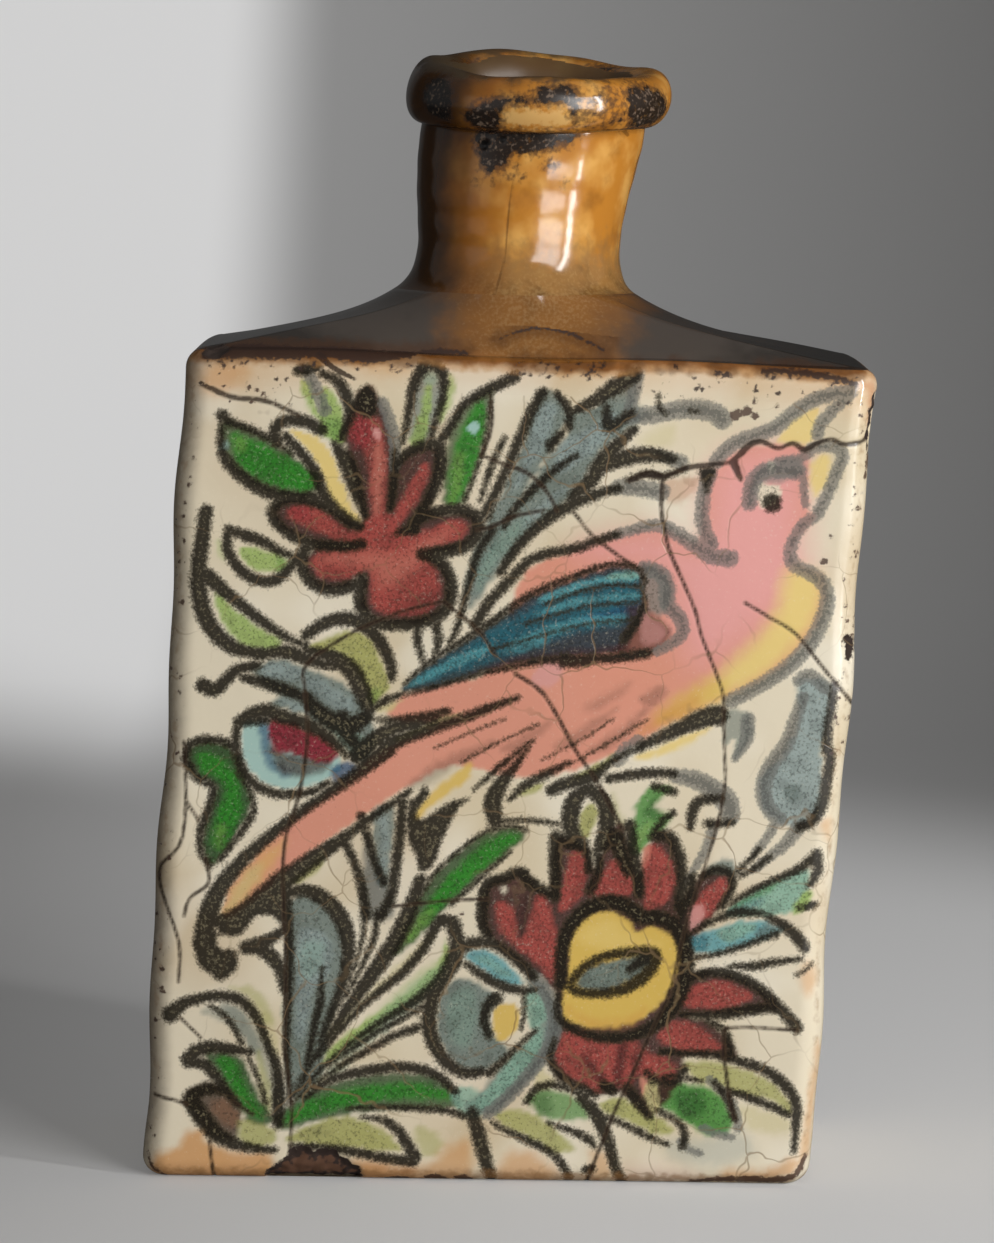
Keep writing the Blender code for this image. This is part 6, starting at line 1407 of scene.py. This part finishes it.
# The same amber thick on the thrown neck: sharp window lights, dusty brown low down, black where it burnt,
# and painted shade on the left, under the rim and over the mouth
neckCoats = [
    dict(colour="#DDAA5C", grain=7, covers=(0.44, 0.7), strength=0.75),
    dict(colour="#8A571F", grain=5, covers=(0.5, 0.78), strength=0.75, seed=2, detail=5),
    dict(colour="#8A673C", field="low", grain=1.4, ragged=9, covers=(11, 3), strength=0.8),
    dict(colour="#5A3D1D", field="low", grain=3, ragged=14, covers=(4, -3), strength=0.7, seed=8),
    dict(colour="#B4935F", field="low", grain=0.5, ragged=30, covers=(4, -5), strength=0.28, seed=3),
    # painted shade on the neck's left side, away from the light
    dict(colour="#8A4E12", field="leftSide", grain=8, ragged=7, covers=(0, -8), strength=0.6, seed=9),
    dict(colour="#382108", field="leftSide", grain=8, ragged=8, covers=(-6, -13), strength=0.95, seed=5),
    # painted shade over the lip and inside the mouth, which is also dull there
    dict(colour="#43351F", field="mouth", grain=2.2, ragged=3, covers=(-0.6, 0.8), strength=0.85, dry=0.7,
         seed=6),
    dict(colour="#D2A765", field="rub", grain=0.8, ragged=4.4, covers=(0.4, -1.1), strength=0.85, dry=0.2),
    # painted shade in the crease under the rim
    dict(colour="#2B1A10", field="crease", grain=0.9, ragged=0.8, covers=(0.35, -0.1), strength=0.85),
    dict(colour="#5E3D1A", field="crack", grain=0.6, ragged=0.2, covers=(0.25, 0.02), strength=0.6),
    dict(colour="#3A2A22", field="burn", grain=0.7, ragged=3.6, covers=(1, -0.5), strength=0.75, detail=5),
    dict(colour="#17120F", field="burn", grain=0.8, ragged=2.6, covers=(-0.1, -0.8), strength=0.93, dry=0.25,
         seed=4, detail=5),
    dict(colour="#86715F", field="burn", grain=0.6, ragged=5, covers=(-1.1, -1.9), strength=0.6, seed=7,
         detail=5),
    dict(colour="#0E0A08", field="chip", grain=0.7, ragged=0.5, covers=(0.1, -0.3), strength=1),
]
neckSurface = dict(gloss=0.15, dry=0.7, ripple=4, rippleStrength=0.3, rippleDepth=0.25, ior=1.6)
neckGlaze = fireGlaze("amber lead glaze", neckCoats, None, neckSurface)

# Low-fired red clay left bare and wiped with a wet hand: dry and gritty, with a few pale grains
clayCoats = [
    dict(colour="#A4663F", grain=7, covers=(-1, -0.5), strength=1),
    dict(colour="#BC8258", grain=7, covers=(0.3, 0.7), strength=1),
    dict(colour="#7E4A2C", grain=2.4, covers=(0.5, 0.75), strength=0.6, seed=2),
    dict(colour="#D8B48C", grain=0.5, covers=(0.6, 0.72), strength=0.5, seed=3, dry=1),
]
claySurface = dict(gloss=0.82, dry=0.95, ripple=0.8, rippleStrength=0.5, rippleDepth=0.3, ior=1.5)
terracotta = fireGlaze("bare terracotta", clayCoats, None, claySurface)
print("glazes mixed")

pieces = {
    "frontPanel": ("front_wall", broadWall(276, 306), ivoryGlaze, "ivory_glaze", paintBody),
    "sideLeft": ("left_wall", narrowWall(-1, 60, 200), ivoryGlaze, "ivory_glaze", paintBody),
    "sideRight": ("right_wall", narrowWall(1, 60, 200), ivoryGlaze, "ivory_glaze", paintBody),
    "shoulderSlab": ("shoulder", hippedShoulder(324, 20, 40), shoulderGlaze, "amber_glaze", paintBody),
    "neckTube": ("neck", trumpetNeck(240, 80), neckGlaze, "amber_glaze", paintNeck),
    "rimRoll": ("rim", rolledRim(300, 90), neckGlaze, "amber_glaze", paintNeck),
    "floorSlab": ("base_slab", floorSlab(90, 40), terracotta, "bare_clay", bareClay),
}
backPanel = broadWall(200, 220)
bmesh.ops.scale(backPanel, vec=(1, -1, 1), verts=backPanel.verts)
pieces["backPanel"] = ("back_wall", backPanel, ivoryGlaze, "ivory_glaze", paintBody)
for name, (node, shape, material, slot, paint) in pieces.items():
    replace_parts(finishPiece(name, shape, material, paint), node)

for name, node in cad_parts.items():
    if "coil" in name:
        node.data.materials.clear()
        node.data.materials.append(terracotta)
print("bottle closed:", len(pieces), "pieces, coils in bare clay")

# Studio: a pale sweep with painted light on it (a bright band on the left wall, painted shade on the floor
# to the left, dark in reflections), a tall window light on the right, a broad weak one beside it, some fill
# on the left
studio = {
    # mirrors see the sweep in a painted dark colour, dimmed that much, and a tenth of its painted glow
    "sweep": "#C4C3C2", "wall": "#A2A1A0", "reflectedDark": "#2A2826", "mirrored": 0.1, "reflectionDimming": 0.9,
    "paper": {"half": 2.6, "length": 5.2, "front": 2.2, "bendAt": 0.5, "bend": 0.6, "rough": 0.95},
    "paintedGlow": {  # painted light on the sweep that camera and mirrors see: metres across from, to, strength from, to
        # a bright painted band on the left of the wall, painted light falling off along the wall to the
        # right, painted shade on the floor to the left
        "left": (-0.1, -0.056, 0.38, 0, "SMOOTHSTEP"),
        "wall": (-0.06, 0.19, 0.13, 0, "LINEAR"),
        "floor": (-0.11, 0.02, 0.05, 0.17, "LINEAR"),
    },
    "wallStart": (0.28, 0.52), "slant": 0.77,  # where floor passes into wall, further back on the left
    "window": {"at": (0.42, -0.27, 0.22), "size": (0.035, 0.4), "watts": 1.15},
    "panel": {"at": (0.6, -0.8, 0.3), "size": (0.47, 0.76), "watts": 7.8},
    "fill": {"at": (-0.9, -0.9, 0.5), "size": (0.6, 0.8), "watts": 0.35},
    "aim": (0, 0, 0.09), "world": 0.16,
}


def paleSweep():
    paper = studio["paper"]
    bm = bmesh.new()
    bmesh.ops.create_grid(bm, x_segments=2, y_segments=60, size=1)
    for vert in bm.verts:
        run = (vert.co.y + 1) / 2 * paper["length"] - paper["front"]
        turn = min(max((run - paper["bendAt"]) / paper["bend"], 0), math.pi / 2)
        rest = max(run - paper["bendAt"] - paper["bend"] * math.pi / 2, 0)
        y = min(run, paper["bendAt"]) + paper["bend"] * math.sin(turn)
        vert.co = (vert.co.x * paper["half"], y, paper["bend"] * (1 - math.cos(turn)) + rest)
    mesh = bpy.data.meshes.new("paleSweep")
    bm.to_mesh(mesh)
    bm.free()
    mesh.shade_smooth()
    sweep = bpy.data.objects.new("paleSweep", mesh)
    bpy.context.collection.objects.link(sweep)
    material = bpy.data.materials.new("matt paper with painted glow")
    material.use_nodes = True
    tree = material.node_tree
    place = addNode(tree, "TexCoord", {}, out="Object")
    across = addNode(tree, "SeparateXYZ", {0: place}, out="X")
    along = addNode(tree, "SeparateXYZ", {0: place}, out="Y")
    paintedGlows = {}
    for name, (start, end, first, last, change) in studio["paintedGlow"].items():
        span = {"Value": across, "From Min": start, "From Max": end, "To Min": first, "To Max": last}
        paintedGlows[name] = addNode(tree, "MapRange", span, interpolation_type=change)
    wall = addNode(tree, "Math", {0: paintedGlows["left"], 1: paintedGlows["wall"]}, operation="ADD")
    depth = addNode(tree, "Math", {0: across, 1: studio["slant"], 2: along}, operation="MULTIPLY_ADD")
    start, full = studio["wallStart"]
    rise = {"Value": depth, "From Min": start, "From Max": full}
    back = addNode(tree, "MapRange", rise, interpolation_type="SMOOTHSTEP")
    paintedGlow = addNode(tree, "Mix", {0: back, 2: paintedGlows["floor"], 3: wall})
    seen = addNode(tree, "LightPath", {}, out="Is Camera Ray")
    mirrored = addNode(tree, "LightPath", {}, out="Is Glossy Ray")
    lit = addNode(tree, "Math", {0: mirrored, 1: studio["mirrored"]}, operation="MULTIPLY")
    either = addNode(tree, "Math", {0: seen, 1: lit}, operation="MAXIMUM")
    # painted dark reflection: mirrors see the sweep in the dark colour
    dark = addNode(tree, "Math", {0: mirrored, 1: studio["reflectionDimming"]}, operation="MULTIPLY")
    tone = {0: back, 6: hexColour(studio["sweep"]), 7: hexColour(studio["wall"])}
    matt = {0: dark, 6: addNode(tree, "Mix", tone, out=2, data_type="RGBA"), 7: hexColour(studio["reflectedDark"])}
    shader = tree.nodes["Principled BSDF"]
    shown = addNode(tree, "Math", {0: paintedGlow, 1: either}, operation="MULTIPLY")
    tree.links.new(shown, shader.inputs["Emission Strength"])
    shader.inputs["Emission Color"].default_value = (1, 1, 1, 1)
    tree.links.new(addNode(tree, "Mix", matt, out=2, data_type="RGBA"), shader.inputs["Base Color"])
    shader.inputs["Roughness"].default_value = paper["rough"]
    mesh.materials.append(material)


def softbox(name, spec):
    lamp = bpy.data.lights.new(name, "AREA")
    lamp.shape = "RECTANGLE"
    lamp.size = spec["size"][0]
    lamp.size_y = spec["size"][1]
    lamp.energy = spec["watts"]
    light = bpy.data.objects.new(name, lamp)
    light.visible_camera = False
    light.location = spec["at"]
    light.rotation_euler = (Vector(studio["aim"]) - light.location).to_track_quat("-Z", "Y").to_euler()
    bpy.context.collection.objects.link(light)


paleSweep()
for name in ("window", "panel", "fill"):
    softbox(name, studio[name])
world = bpy.data.worlds.new("studioAir")
bpy.context.scene.world = world
world.use_nodes = True
world.node_tree.nodes["Background"].inputs["Color"].default_value = (1, 1, 1, 1)
world.node_tree.nodes["Background"].inputs["Strength"].default_value = studio["world"]

# Camera: a little above the shoulder, tipped down six degrees and a touch off level, as in the photograph
view = {"at": (0.0022, -0.700, 0.1563), "tilt": 84, "roll": 0.8, "lens": 132.15, "sensor": 36}
lens = bpy.data.cameras.new("camera")
lens.lens = view["lens"]
lens.sensor_width = view["sensor"]
camera = bpy.data.objects.new("camera", lens)
tip = Matrix.Rotation(math.radians(view["tilt"]), 4, "X")
turned = tip @ Matrix.Rotation(math.radians(view["roll"]), 4, "Z")
camera.matrix_world = Matrix.Translation(view["at"]) @ turned
bpy.context.collection.objects.link(camera)
bpy.context.scene.camera = camera
bpy.context.scene.view_settings.view_transform = "Standard"
print("studio lit")
